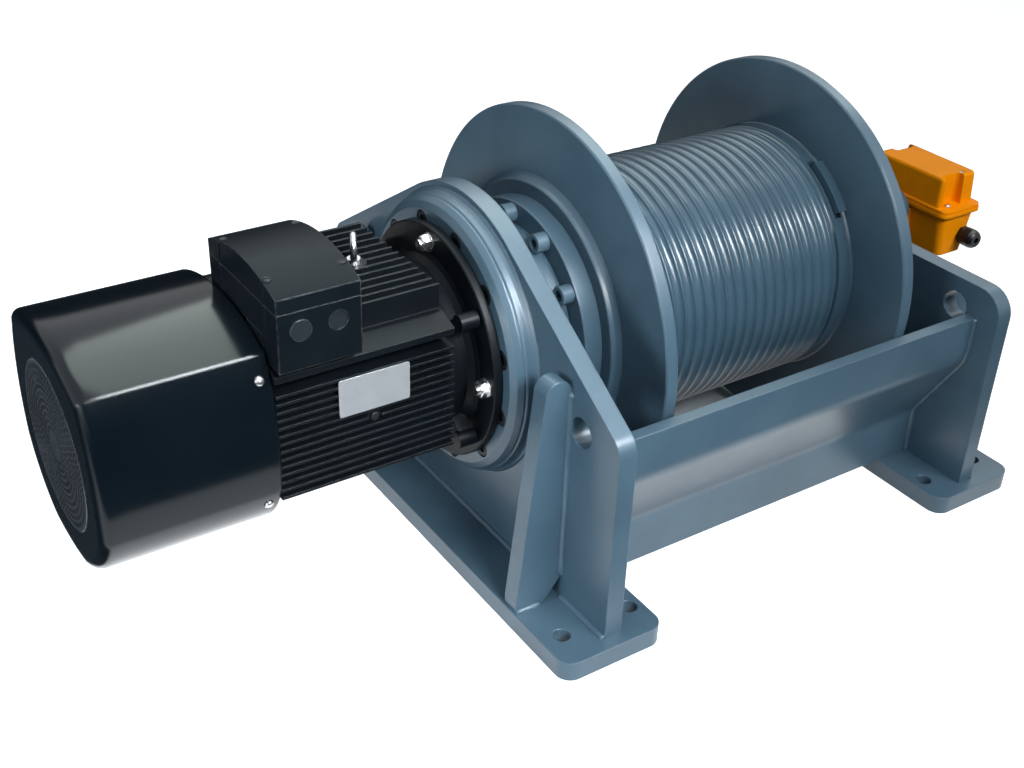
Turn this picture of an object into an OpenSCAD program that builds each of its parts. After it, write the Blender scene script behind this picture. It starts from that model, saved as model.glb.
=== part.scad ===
// Electric winch: grooved drum with a planetary gearbox in its left end, between two
// welded side plates, driven by a flange motor with a brake, with a limit switch at the right.
// X runs along the drum axis (the motor is at -X), -Y is the front, Z = 0 is under the feet.

/* [Frame] */
// Height of the drum axis above the floor
axis_h = 280; // [275:1:320]
// Clear width between the two side plates
plate_gap = 592; // [580:1:660]
// Thickness of a side plate
plate_t = 24; // [18:1:28]
// Half width of a side plate, front to back
plate_half = 335; // [325:1:345]
// Radius of the round top of the left plate
left_top_r = 190; // [186:1:200]
// Height of the left plate's shoulder centre below the axis
left_shoulder_drop = 4; // [0:1:20]
// Corner radius of the left plate's shoulders
left_shoulder_r = 30; // [20:1:40]
// Height of the right plate's flat top above the axis
right_top_rise = 36; // [30:1:50]
// Radius of the round top of the right plate
right_top_r = 125; // [118:1:130]
// Thickness of a foot plate
foot_t = 26; // [18:1:30]
// Half length of a foot plate, front to back
foot_half = 352; // [350:1:380]
// How far a foot reaches outside its side plate
foot_out = 67; // [60:1:80]
// How far a foot reaches inside its side plate
foot_in = 55; // [50:1:70]
// Corner radius of a foot plate
foot_corner_r = 20; // [8:1:26]
// Radius of a foot bolt hole
foot_hole_r = 11; // [8:0.5:13]
// Distance of the outer foot holes from the side plate
foot_hole_out = 39; // [34:1:44]
// Distance of the inner foot holes from the side plate
foot_hole_in = 36; // [30:1:38]
// Half distance between front and rear foot holes
foot_hole_half = 303; // [280:1:315]
// Radius of a lifting hole
lift_hole_r = 19; // [12:0.5:22]
// Distance of the lifting holes from the drum axis, front to back
lift_hole_half = 264; // [255:1:275]

/* [Ribs and cross members] */
// Thickness of a gusset
gusset_t = 24; // [12:1:26]
// Distance of a gusset's outer face from the middle, front to back
gusset_half = 242; // [225:1:250]
// Reach of a gusset from the side plate at the foot
gusset_foot = 64; // [50:1:66]
// Reach of a gusset from the side plate at its top
gusset_top = 35; // [24:1:45]
// Height of a gusset's top above the floor
gusset_h = 336; // [300:1:345]
// Height of the right plate's gussets
gusset_h_right = 285; // [260:1:300]
// Size of the coped corner of a gusset
gusset_cope = 26; // [10:1:30]
// Thickness of the bent cross members
member_t = 16; // [10:1:18]
// Distance of a member's lower panel from the middle
member_low = 235; // [220:1:245]
// Distance of a member's upper panel from the middle
member_high = 301; // [285:1:306]
// Height of a member's top edge above the floor
member_h = 272; // [255:1:285]
// Height where a member's slanted part starts
member_bend_low = 88; // [80:1:110]
// Height where a member's slanted part ends
member_bend_high = 222; // [205:1:235]
// Outer radius of the bends of a member
member_bend_r = 44; // [30:1:50]

/* [Drum] */
// Radius over the ridges of the grooved barrel
barrel_r = 173; // [168:1:180]
// Depth of a rope groove
groove_depth = 4.5; // [2:0.1:6]
// Distance from groove to groove
groove_pitch = 16.8; // [15:0.1:20]
// Wall of the barrel under the grooves
barrel_wall = 16; // [10:1:18]
// Radius of the drum flanges
flange_r = 264; // [250:1:268]
// Thickness of the left drum flange
left_flange_t = 18; // [12:1:22]
// Thickness of the right drum flange
right_flange_t = 16; // [12:1:20]
// Place of the left drum flange's outer face along the axis
left_flange_x = -200; // [-204:1:-196]
// Length of the barrel between the drum flanges
barrel_l = 371; // [355:1:372]
// Radius of the stiffening disc behind the right flange
stiffener_r = 257; // [220:1:260]
// Thickness of the stiffening disc
stiffener_t = 10; // [6:1:14]
// Length of the smooth band beside the right flange
smooth_band = 23; // [22:1:40]
// Start angle of the rope pocket, measured up from the front
pocket_from = 36; // [30:1:45]
// End angle of the rope pocket
pocket_to = 62; // [56:1:70]
// Height of the rope wedge above the barrel
wedge_rise = 9; // [4:1:14]
// Thickness of the collar on the left flange
collar_t = 10; // [8:1:12]
// Radius of the collar
collar_r = 171; // [165:1:178]

/* [Gearbox] */
// Radius of the fixed neck that passes through the left plate
neck_r = 126; // [122:0.5:127]
// Radius of the gearbox flange that carries the motor
gear_flange_r = 176; // [172:1:182]
// Thickness of the gearbox flange
gear_flange_t = 14; // [12:1:16]
// Bevel of the gearbox flange's rim, along the radius
gear_flange_bevel = 13; // [8:1:15]
// Thickness of the ring welded to the left plate
ring_t = 16; // [14:1:20]
// Radius of the welded ring
ring_r = 178; // [172:1:182]
// Radius of the circle of screws in the gearbox flange
flange_pcd_r = 148; // [147:0.5:150]
// Number of screws in the gearbox flange
flange_screws_n = 12; // [10:1:12]
// Radius of the rotating gear housing's flange
housing_flange_r = 153; // [151:0.5:158]
// Thickness of the gear housing's flange
housing_flange_t = 25; // [20:1:28]
// Radius of the gear housing inside the drum
housing_r = 122; // [120:0.5:124]
// Length of the gear housing behind its flange
housing_l = 160; // [158:1:175]
// Radius of the circle of screws in the housing flange
housing_pcd_r = 139; // [138:0.5:140]
// Number of screws in the housing flange
housing_screws_n = 12; // [10:1:14]
// Radius of an M16 screw shank
screw_r = 8; // [6:0.5:8]
// Radius of an M16 socket head
head_r = 12; // [10:0.5:12]
// Height of an M16 socket head
head_h = 16; // [12:0.5:16]
// Module of the gear teeth
gear_m = 2.8; // [2.7:0.01:2.82]
// Half clearance between tooth flanks
flank_gap = 0.22; // [0.15:0.01:0.3]
// Face width of the output gears
output_face = 36; // [24:1:38]
// Face width of the first stage gears
first_face = 28; // [20:1:30]

/* [Motor] */
// Radius of the motor flange
motor_flange_r = 150; // [149:0.5:152]
// Thickness of the motor flange
motor_flange_t = 12; // [10:1:14]
// Radius of the circle of motor flange studs
stud_pcd_r = 132.5; // [130:0.5:134]
// Radius of an M12 stud
stud_r = 6; // [5:0.5:6]
// Radius of the motor's centring spigot
spigot_r = 115; // [110:0.5:118]
// Outer radius of the motor's round shell
motor_shell_r = 112; // [109:0.5:114]
// Inner radius of the motor's round shell
motor_bore_r = 100; // [97:0.5:102]
// Half width of the motor over its cooling fins
fin_half = 130; // [126:1:134]
// Distance from side fin to side fin
side_fin_pitch = 10; // [8:0.5:10.5]
// Distance from top fin to top fin
top_fin_pitch = 15.6; // [13:0.1:16]
// Thickness of a cooling fin
fin_t = 3.6; // [2.5:0.1:4.5]
// Length of the finned part of the motor
fin_l = 220; // [210:1:224]
// Distance from the fins' end to the motor flange
shield_l = 43; // [41:1:48]
// Length of the stator core
core_l = 130; // [100:1:134]
// Air gap between rotor and stator
air_gap = 0.6; // [0.4:0.1:1]
// Radius of the rotor's shaft in its bearings
shaft_r = 20; // [18:0.5:21]
// Air gap of the brake when it holds
brake_gap = 0.5; // [0.3:0.1:0.8]

/* [Fan cowl] */
// Half height of the fan cowl over its domed sides
cowl_half = 137; // [134:1:140]
// Distance of the cowl's upper corners from the middle of its sides
cowl_corner = 113; // [111:1:118]
// Length of the cowl
cowl_l = 201; // [197:1:215]
// Sheet thickness of the cowl
cowl_t = 2.5; // [1.5:0.5:3]
// Radius of the cowl's rounded end edge
cowl_edge_r = 13; // [8:1:18]
// Radius of the perforated field
grille_r = 96; // [90:1:98]
// Radius of the closed disc in the middle of the grille
grille_hub_r = 17; // [15:1:22]
// Number of rings of holes in the grille
grille_rings = 7; // [5:1:7]
// Radius of a hole in the grille
grille_hole_r = 3.2; // [2:0.1:3.4]

/* [Terminal box and fittings] */
// Length of the terminal box along the motor
box_l = 97; // [90:1:100]
// Front face of the terminal box, from the axis
box_front = 142; // [139:1:148]
// Back face of the terminal box, from the axis
box_back = 30; // [26:1:40]
// Height of the split line above the axis
box_split = 169; // [164:1:176]
// Height of the lid's edge above the split line
lid_edge = 17; // [12:1:20]
// Height of the lid's crown above its edge
lid_crown = 17; // [10:1:22]
// Wall of the terminal box
box_wall = 5; // [3:0.5:6]
// Radius of a cable entry plug
entry_r = 12.5; // [10:0.5:14]
// Length of the blank name plate
plate_label_l = 88; // [70:1:95]
// Height of the blank name plate
plate_label_h = 47; // [40:1:50]
// Outer radius of the eyebolt's ring
eye_r = 18; // [16:0.5:20]

/* [Right bearing and limit switch] */
// Radius of the right shaft journal
journal_r = 40; // [35:0.5:42]
// Radius of the right bearing housing's flange
bearing_flange_r = 105; // [100:1:112]
// Radius of the right bearing housing's body
bearing_body_r = 80; // [77:1:84]
// Distance of the switch from the right side plate
switch_stand = 150; // [146:1:156]
// Width of the switch cover at its foot
switch_w = 75; // [70:1:80]
// Length of the switch cover at its foot
switch_l = 122; // [118:1:130]
// Height of the switch base under its rim
switch_base_h = 66; // [60:1:68]
// Height of the switch cover above its rim
switch_cover_h = 47; // [40:1:55]
// Width of the switch's rim beyond the cover, front and back
switch_rim = 18; // [15:1:20]
// Radius of the cable gland's dome
gland_r = 15; // [12:0.5:16]

/* [Hidden] */
$fn = 64;

// Colours
grey_paint = [0.36, 0.44, 0.50];
motor_black = [0.06, 0.07, 0.09];
cowl_black = [0.03, 0.03, 0.04];
zinc = [0.75, 0.77, 0.78];
steel = [0.62, 0.64, 0.66];
copper = [0.72, 0.40, 0.22];
orange = [0.98, 0.65, 0.08];
gland_black = [0.04, 0.04, 0.04];

// Clearances
fit = 0.05;
run_gap = 0.4;
seal_gap = 0.6;
edge = 2;

// Places along the axis
plate_in = plate_gap / 2;
plate_out = plate_in + plate_t;
ring_x = -plate_out - ring_t;
motor_x = ring_x - gear_flange_t;
motor_face_x = motor_x - motor_flange_t;
fin_x1 = motor_face_x - shield_l;
fin_x0 = fin_x1 - fin_l;
cowl_x1 = fin_x0 - 1;
cowl_x0 = cowl_x1 - cowl_l;
left_flange_in = left_flange_x + left_flange_t;
right_flange_x = left_flange_in + barrel_l;
stiffener_x = right_flange_x + right_flange_t;
collar_x = left_flange_x - collar_t;
housing_x = collar_x - housing_flange_t;
housing_end = collar_x + housing_l;

// Lays a drawing of the YZ plane square to the drum axis, with its middle on the axis
module lay(x) {
    translate([x, 0, axis_h])
        rotate([90, 0, 90])
            children();
}

// A round bar, disc or hole about the drum axis between two places along it
module disc(x0, x1, r) {
    lay(x0) cylinder(h = x1 - x0, r = r);
}

// A revolved part; its profile points are [radius, place along the axis]
module turned(points) {
    lay(0) rotate_extrude($fn = 96) polygon(points);
}

// Copies about the drum axis
module around(count, first = 0) {
    lay(0)
        for (i = [0 : count - 1])
            rotate([0, 0, first + i * 360 / count])
                children();
}

// Both the front and the rear copy
module front_and_rear() {
    children();
    mirror([0, 1, 0]) children();
}

// Points of an arc about a centre
function arc(centre, r, from, to, steps = 8) =
    [for (i = [0 : steps]) centre + r * [cos(from + (to - from) * i / steps),
                                         sin(from + (to - from) * i / steps)]];

// Tangent from a point to a circle about the middle, on the side of larger angles
function tangent_angle(point, r) =
    atan2(point.y, point.x) + acos(r / norm(point));

// Angle at which the common outer tangent leaves two circles, the second one to the right
function common_angle(c1, r1, c2, r2) =
    atan2(c2.y - c1.y, c2.x - c1.x) + acos((r1 - r2) / norm(c2 - c1));

// Rounded rectangle in the drawing plane
module round_rect(w, h, r) {
    union() {
        square([w - 2 * r, h], center = true);
        square([w, h - 2 * r], center = true);
        for (sx = [-1, 1], sy = [-1, 1])
            translate([sx * (w / 2 - r), sy * (h / 2 - r)])
                circle(r = r);
    }
}

// Hexagon nut or bolt head along Z, with a bevelled top
module hex_head(flats, h) {
    intersection() {
        cylinder(h = h, d = flats / cos(30), $fn = 6);
        rotate_extrude($fn = 48)
            polygon([[0, 0], [flats * 0.6, 0], [flats * 0.6, h * 0.75],
                     [flats * 0.46, h], [0, h]]);
    }
}

// Socket head screw along Z: the shank goes down from Z = 0, the head stands up
module socket_screw(r, l, hr, hh) {
    difference() {
        union() {
            translate([0, 0, -l]) cylinder(h = l, r = r, $fn = 32);
            rotate_extrude($fn = 40)
                polygon([[0, 0], [hr, 0], [hr, hh - 1], [hr - 1, hh], [0, hh]]);
        }
        translate([0, 0, hh / 2])
            cylinder(h = hh, r = hr * 0.62, $fn = 6);
    }
}

// Side plates

shoulder_y = plate_half - left_shoulder_r;
left_centre = [shoulder_y, -left_shoulder_drop];
left_tangent = common_angle([0, 0], left_top_r, left_centre, left_shoulder_r);
bump_foot = [150, right_top_rise];
bump_tangent = tangent_angle(bump_foot, right_top_r);
foot_top = foot_t - axis_h;
hair = 0.08;

function polar(r, a) = r * [cos(a), sin(a)];

// Outline of the left plate: round top, straight slopes, rounded shoulders. The slopes end a
// hair inside the rounds, so that they cross them in one clean point
module left_outline() {
    p1 = polar(left_top_r - hair, left_tangent);
    p2 = left_centre + polar(left_shoulder_r - hair, left_tangent);
    circle(r = left_top_r, $fn = 128);
    for (s = [-1, 1])
        translate([s * left_centre.x, left_centre.y])
            circle(r = left_shoulder_r);
    polygon([[-plate_half, foot_top], [plate_half, foot_top],
             [plate_half, left_centre.y], p2, p1, [-p1.x, p1.y],
             [-p2.x, p2.y], [-plate_half, left_centre.y]]);
}

// Outline of the right plate: flat top with a round rise over the bearing
module right_outline() {
    r = right_top_rise;
    p = polar(right_top_r - hair, bump_tangent);
    circle(r = right_top_r, $fn = 128);
    for (s = [-1, 1])
        translate([s * (plate_half - r), 0])
            circle(r = r);
    polygon([[-plate_half, foot_top], [plate_half, foot_top], [plate_half, 0],
             [plate_half - r, r], bump_foot, p, [-p.x, p.y],
             [-bump_foot.x, bump_foot.y], [r - plate_half, r], [-plate_half, 0]]);
}

// Holes of a side plate: the middle bore and two lifting holes
module plate_holes(bore_r) {
    circle(r = bore_r, $fn = 96);
    for (s = [-1, 1])
        translate([s * lift_hole_half, -left_shoulder_drop])
            circle(r = lift_hole_r, $fn = 48);
}

module side_plate_left() {
    color(grey_paint)
        lay(-plate_out)
            linear_extrude(plate_t)
                difference() {
                    left_outline();
                    plate_holes(neck_r + fit);
                }
}

spigot_right_r = 70;
housing_bolt_r = 92;
housing_bolts_n = 6;
module side_plate_right() {
    color(grey_paint)
        lay(plate_in)
            linear_extrude(plate_t)
                difference() {
                    right_outline();
                    plate_holes(spigot_right_r + fit);
                    for (i = [0 : housing_bolts_n - 1])
                        rotate(i * 360 / housing_bolts_n)
                            translate([housing_bolt_r, 0])
                                circle(r = stud_r);
                }
}

// Feet

foot_w = foot_out + plate_t + foot_in;
foot_mid = plate_in - foot_in + foot_w / 2;
holes_x = [plate_out + foot_hole_out, plate_in - foot_hole_in];

module foot(side) {
    color(grey_paint)
        linear_extrude(foot_t)
            difference() {
                translate([side * foot_mid, 0])
                    round_rect(foot_w, 2 * foot_half, foot_corner_r);
                for (x = holes_x, s = [-1, 1])
                    translate([side * x, s * foot_hole_half])
                        circle(r = foot_hole_r, $fn = 40);
            }
}

module foot_left() foot(-1);
module foot_right() foot(1);

// Gussets: tapered ribs with a round top on the outer side of the plates

module gusset_shape(h) {
    top_r = gusset_top / 2;
    top_z = h - top_r;
    difference() {
        union() {
            translate([top_r, top_z]) circle(r = top_r, $fn = 40);
            polygon([[0, foot_t], [gusset_foot, foot_t], [gusset_foot, foot_t + 14],
                     [gusset_top, top_z], [0, top_z]]);
        }
        polygon([[-1, foot_t - 1], [gusset_cope, foot_t - 1],
                 [-1, foot_t + 1.2 * gusset_cope]]);
    }
}

module gussets() {
    color(grey_paint)
        for (side = [0, 1])
            mirror([side, 0, 0])
                front_and_rear()
                    translate([plate_out, -gusset_half + gusset_t, 0])
                        rotate([90, 0, 0])
                            linear_extrude(gusset_t)
                                gusset_shape(side == 0 ? gusset_h_right : gusset_h);
}

// Cross members: sheet bent outward and then up again

in_r = member_bend_r - member_t;
step_out = member_high - member_low;
both_r = member_bend_r + in_r;
step_up = member_bend_high - member_bend_low;
lean = asin(both_r / norm([step_up, both_r - step_out]))
    - atan2(both_r - step_out, step_up);
low_centre = [member_low + in_r, member_bend_low];
high_centre = [member_high - member_bend_r, member_bend_high];

// Section of the sheet as [distance from the middle, height]: front face up, back face down
member_section = concat(
    [[member_low, foot_t]],
    arc(low_centre, in_r, 180, 180 - lean, 5),
    arc(high_centre, member_bend_r, -lean, 0, 7),
    [[member_high, member_h], [member_high - member_t, member_h]],
    arc(high_centre, in_r, 0, -lean, 5),
    arc(low_centre, member_bend_r, 180 - lean, 180, 7),
    [[member_low - member_t, foot_t]]);

module crossmember() {
    color(grey_paint)
        translate([-plate_in, 0, 0])
            rotate([90, 0, 90])
                linear_extrude(plate_gap)
                    polygon([for (p = member_section) [-p.x, p.y]]);
}

module crossmember_front() crossmember();
module crossmember_rear() mirror([0, 1, 0]) crossmember();

// Gearbox outside and inside the left plate

carrier_r = 96;
carrier_t = 14;
journal_in_r = 90;
main_bearing_r = 112;
bearing_w = 26;
spigot_l = 5;
input_bore_r = 15;
neck_end = housing_x - seal_gap;
bearing_x0 = housing_x + 3;
bearing_x1 = bearing_x0 + bearing_w;
carrier_x = bearing_x1 + 2;
output_x0 = carrier_x + carrier_t + 1.5;
output_x1 = output_x0 + output_face;
tapped_l = 10;
flange_first = 15;
housing_first = 24;

// The ring welded to the left plate, which the gearbox flange is screwed to
module mounting_ring() {
    color(grey_paint)
        difference() {
            turned([[neck_r + fit, ring_x], [ring_r - 2, ring_x], [ring_r, ring_x + 2],
                    [ring_r, -plate_out - 7], [ring_r + 2, -plate_out - 3],
                    [ring_r + 6, -plate_out], [neck_r + fit, -plate_out]]);
            around(flange_screws_n, flange_first)
                translate([flange_pcd_r, 0, ring_x - 1])
                    cylinder(h = tapped_l + 1, r = screw_r);
        }
}

// The fixed middle of the gearbox: flange, neck, bearing seat and planet carrier in one
module gearbox_spindle() {
    b = gear_flange_bevel;
    color(grey_paint)
        difference() {
            union() {
                turned([[input_bore_r, motor_x + spigot_l + run_gap],
                        [spigot_r + fit, motor_x + spigot_l + run_gap],
                        [spigot_r + fit, motor_x], [gear_flange_r - b, motor_x],
                        [gear_flange_r - b * 0.35, motor_x + gear_flange_t * 0.36],
                        [gear_flange_r, motor_x + gear_flange_t * 0.85],
                        [gear_flange_r, ring_x], [neck_r, ring_x], [neck_r, neck_end],
                        [journal_in_r, neck_end], [journal_in_r, carrier_x],
                        [carrier_r, carrier_x], [carrier_r, carrier_x + carrier_t],
                        [input_bore_r, carrier_x + carrier_t]]);
                around(3)
                    translate([gear_centres, 0, carrier_x + carrier_t - 1])
                        cylinder(h = output_x1 - carrier_x - carrier_t + 1, r = pin_r);
            }
            around(flange_screws_n, flange_first)
                translate([flange_pcd_r, 0, motor_x - 1]) {
                    cylinder(h = gear_flange_t + 2, r = screw_r + 0.75, $fn = 32);
                    cylinder(h = counterbore + 1, r = head_r + 1, $fn = 40);
                }
            around(4)
                translate([stud_pcd_r, 0, motor_x - 1])
                    cylinder(h = stud_seat + 1, r = stud_r);
        }
}

counterbore = 7;
stud_seat = 12;
flange_head_h = 6.5;

module flange_screws() {
    color(steel)
        around(flange_screws_n, flange_first)
            translate([flange_pcd_r, 0, motor_x + counterbore])
                mirror([0, 0, 1])
                    socket_screw(screw_r, gear_flange_t - counterbore + tapped_l,
                                 head_r, flange_head_h);
}

// Gears

sun_z = 15;
planet_z = 30;
inner_z = 75;
pressure = 20;
gear_centres = gear_m * (sun_z + planet_z) / 2;
pin_r = 14;
addendum = 0.92;
dedendum = 1.2;

function inv(a) = tan(a) * 180 / PI - a;

// Half angle of an involute tooth at radius r; teeth get thinner by the flank gap
function half_tooth(z, r, gap) =
    let (base = gear_m * z / 2 * cos(pressure),
         at = r > base ? inv(acos(base / r)) : 0)
    90 / z + inv(pressure) - at - gap / r * 180 / PI;

// Outline of a toothed wheel about the origin; a tooth is centred on the X axis
module gear_outline(z, tip, root, gap) {
    polygon([for (i = [0 : z - 1], s = [-1, 1], end = [0, 1])
        let (r = end == (s < 0 ? 1 : 0) ? tip : root,
             half = half_tooth(z, r, gap))
        polar(r, i * 360 / z + s * half)]);
}

function tip_r(z) = gear_m * (z / 2 + addendum);
function root_r(z) = gear_m * (z / 2 - dedendum);

// An outside gear along X with its width and bore
module wheel(z, face, bore, turn = 0) {
    linear_extrude(face)
        difference() {
            rotate(turn) gear_outline(z, tip_r(z), root_r(z), flank_gap);
            circle(r = bore, $fn = 48);
        }
}

first_x0 = output_x1 + 22;
first_x1 = first_x0 + first_face;
ring_gear_r = 113;
planet_bore = pin_r + fit;
inner_tip = gear_m * (inner_z / 2 - addendum);
inner_root = gear_m * (inner_z / 2 + dedendum);

module inner_teeth(x, face) {
    lay(x)
        linear_extrude(face)
            difference() {
                circle(r = ring_gear_r, $fn = 96);
                rotate(180 / inner_z)
                    gear_outline(inner_z, inner_root, inner_tip, -flank_gap);
            }
}

// Both inner gear rings; they turn with the drum
module ring_gear() {
    color(steel) {
        inner_teeth(output_x0, output_face);
        inner_teeth(first_x0, first_face);
    }
}

// A planet of either stage, meshed with the sun at the middle
module planet(index, x, face) {
    color(steel)
        lay(x)
            rotate(index * 120)
                translate([gear_centres, 0])
                    wheel(planet_z, face, planet_bore, 180 + 180 / planet_z);
}

module output_planet_a() planet(0, output_x0, output_face);
module output_planet_b() planet(1, output_x0, output_face);
module output_planet_c() planet(2, output_x0, output_face);
module first_planet_a() planet(0, first_x0, first_face);
module first_planet_b() planet(1, first_x0, first_face);
module first_planet_c() planet(2, first_x0, first_face);

sun_shaft_r = 12;
arm_t = 12;
arm_x = first_x0 - 1.5 - arm_t;

// First stage carrier: its arms hold the first planets, its sun drives the output planets
module first_carrier() {
    color(steel) {
        difference() {
            union() {
                disc(arm_x, arm_x + arm_t, 84);
                lay(output_x0)
                    linear_extrude(arm_x - output_x0 + 1)
                        gear_outline(sun_z, tip_r(sun_z), root_r(sun_z), flank_gap);
                around(3)
                    translate([gear_centres, 0, arm_x + arm_t - 1])
                        cylinder(h = first_x1 - arm_x - arm_t + 1, r = pin_r);
            }
            disc(output_x0 - 1, arm_x + arm_t + 1, sun_shaft_r + run_gap);
        }
    }
}

// Sun shaft: pushed into the end of the motor shaft, with the first sun on its other end
sun_grip = 30;
module sun_shaft() {
    color(steel) {
        disc(motor_x - sun_grip, first_x0, sun_shaft_r);
        lay(first_x0)
            linear_extrude(first_face)
                gear_outline(sun_z, tip_r(sun_z), root_r(sun_z), flank_gap);
    }
}

// Rotating gear housing with its flange, bolted to the left drum flange
module gear_housing() {
    color(grey_paint)
        difference() {
            turned([[journal_in_r + 2, housing_x], [housing_flange_r - 1, housing_x],
                    [housing_flange_r, housing_x + 1], [housing_flange_r, collar_x],
                    [housing_r, collar_x], [housing_r, housing_end - 3],
                    [housing_r - 3, housing_end], [0, housing_end],
                    [0, housing_end - 12], [ring_gear_r, housing_end - 12],
                    [ring_gear_r, bearing_x1], [main_bearing_r + fit, bearing_x1],
                    [main_bearing_r + fit, bearing_x0], [journal_in_r + 2, bearing_x0]]);
            around(housing_screws_n, housing_first)
                translate([housing_pcd_r, 0, housing_x - 1])
                    cylinder(h = housing_flange_t + 2, r = screw_r + 0.5, $fn = 32);
        }
}

housing_screw_l = housing_flange_t + collar_t + 14;
module housing_screws() {
    color(grey_paint)
        around(housing_screws_n, housing_first)
            translate([housing_pcd_r, 0, housing_x])
                mirror([0, 0, 1])
                    socket_screw(screw_r, housing_screw_l, head_r, head_h);
}

// Both bearings that carry the drum
drum_bearing_w = 26;
drum_bearing_x = plate_out + 18;
drum_bearing_r = 62;
module bearing_ring(x0, x1, inner, outer) {
    mid = (inner + outer) / 2;
    w = (outer - inner) / 7;
    turned([[inner, x0], [mid - w, x0], [mid - w, x0 + 2], [mid + w, x0 + 2],
            [mid + w, x0], [outer, x0], [outer, x1], [mid + w, x1],
            [mid + w, x1 - 2], [mid - w, x1 - 2], [mid - w, x1], [inner, x1]]);
}

module drum_bearings() {
    color(steel) {
        bearing_ring(bearing_x0 + 0.5, bearing_x1 - 0.5, journal_in_r, main_bearing_r);
        bearing_ring(drum_bearing_x, drum_bearing_x + drum_bearing_w,
                     journal_r + fit, drum_bearing_r);
    }
}

// Drum

barrel_in_r = barrel_r - groove_depth - barrel_wall;
groove_n = floor((barrel_l - smooth_band - 4) / groove_pitch);
groove_half = groove_pitch / 2 - 1.2;
groove_arc_r = (groove_half * groove_half + groove_depth * groove_depth)
    / (2 * groove_depth);
groove_span = asin(groove_half / groove_arc_r);
groove_x0 = left_flange_in + 4;

// Ridges and grooves along the barrel, as [radius, place]
function groove(i) = let (mid = groove_x0 + (i + 0.5) * groove_pitch)
    [for (k = [-3 : 3])
        [barrel_r - groove_depth + groove_arc_r * (1 - cos(k / 3 * groove_span)),
         mid + groove_arc_r * sin(k / 3 * groove_span)]];

module drum_barrel() {
    color(grey_paint)
        difference() {
            turned(concat(
                [[barrel_in_r, left_flange_in], [barrel_r, left_flange_in]],
                [for (i = [0 : groove_n - 1]) each groove(i)],
                [[barrel_r, right_flange_x], [barrel_in_r, right_flange_x]]));
            pocket(0, 0);
        }
}

pocket_l = 15;
pocket_floor = 9;

// Wedge shaped sector for the rope pocket, grown outward by rise and inward by gap
module pocket(rise, gap) {
    lay(right_flange_x - pocket_l + gap)
        linear_extrude(pocket_l - gap)
            intersection() {
                difference() {
                    circle(r = barrel_r + (gap > 0 ? rise : 20), $fn = 96);
                    circle(r = barrel_r - pocket_floor, $fn = 96);
                }
                polygon([[0, 0], polar(400, 180 - pocket_from - gap),
                         polar(400, 180 - pocket_to + gap)]);
            }
}

// Wedge that clamps the rope's end in its pocket
module rope_wedge() {
    color(steel) pocket(wedge_rise, 1);
}

module drum_flange_left() {
    tap = housing_screw_l - housing_flange_t;
    color(grey_paint)
        difference() {
            turned([[housing_r, collar_x], [collar_r - 1, collar_x], [collar_r, collar_x + 1],
                    [collar_r + 2, left_flange_x - 4.5], [collar_r + 5, left_flange_x - 2],
                    [collar_r + 9, left_flange_x], [flange_r - edge, left_flange_x],
                    [flange_r, left_flange_x + edge], [flange_r, left_flange_in - edge],
                    [flange_r - edge, left_flange_in], [housing_r, left_flange_in]]);
            around(housing_screws_n, housing_first)
                translate([housing_pcd_r, 0, collar_x - 1])
                    cylinder(h = tap + 1, r = screw_r);
        }
}

hub_r = 95;
hub_t = 22;
drum_hub_x = stiffener_x + stiffener_t;
hub_spigot_r = 60;

module drum_flange_right() {
    color(grey_paint)
        turned([[hub_spigot_r, right_flange_x], [flange_r - edge, right_flange_x],
                [flange_r, right_flange_x + edge], [flange_r, stiffener_x - 1],
                [flange_r - 1, stiffener_x], [hub_spigot_r, stiffener_x]]);
}

module stiffener_disc() {
    color(grey_paint)
        turned([[hub_spigot_r, stiffener_x], [stiffener_r - 1, stiffener_x],
                [stiffener_r, stiffener_x + 1], [stiffener_r, drum_hub_x - 1],
                [stiffener_r - 1, drum_hub_x], [hub_spigot_r, drum_hub_x]]);
}

journal_end = drum_bearing_x + drum_bearing_w;
stub_r = 10;
stub_end = plate_out + switch_stand + 49;

// Right end shaft: hub on the discs, journal in the bearing, thin end for the limit switch
module end_shaft() {
    color(steel)
        turned([[0, right_flange_x], [hub_spigot_r, right_flange_x],
                [hub_spigot_r, drum_hub_x], [hub_r, drum_hub_x],
                [hub_r, drum_hub_x + hub_t - 3], [hub_r - 3, drum_hub_x + hub_t],
                [journal_r + 12, drum_hub_x + hub_t], [journal_r + 6, plate_in - 6],
                [journal_r + 6, drum_bearing_x - run_gap],
                [journal_r, drum_bearing_x - run_gap],
                [journal_r, journal_end], [18, journal_end], [18, journal_end + 26],
                [stub_r, journal_end + 28], [stub_r, stub_end], [0, stub_end]]);
}

// Motor

flange_gap_x = motor_x + spigot_l;
de_bearing_x = fin_x1 + 8;
de_bearing_w = 23;
de_bearing_r = 45;
fan_bearing_r = 40;
lug_y = 108;
lug_z = 80;
shield_x0 = fin_x1 - 1;

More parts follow.
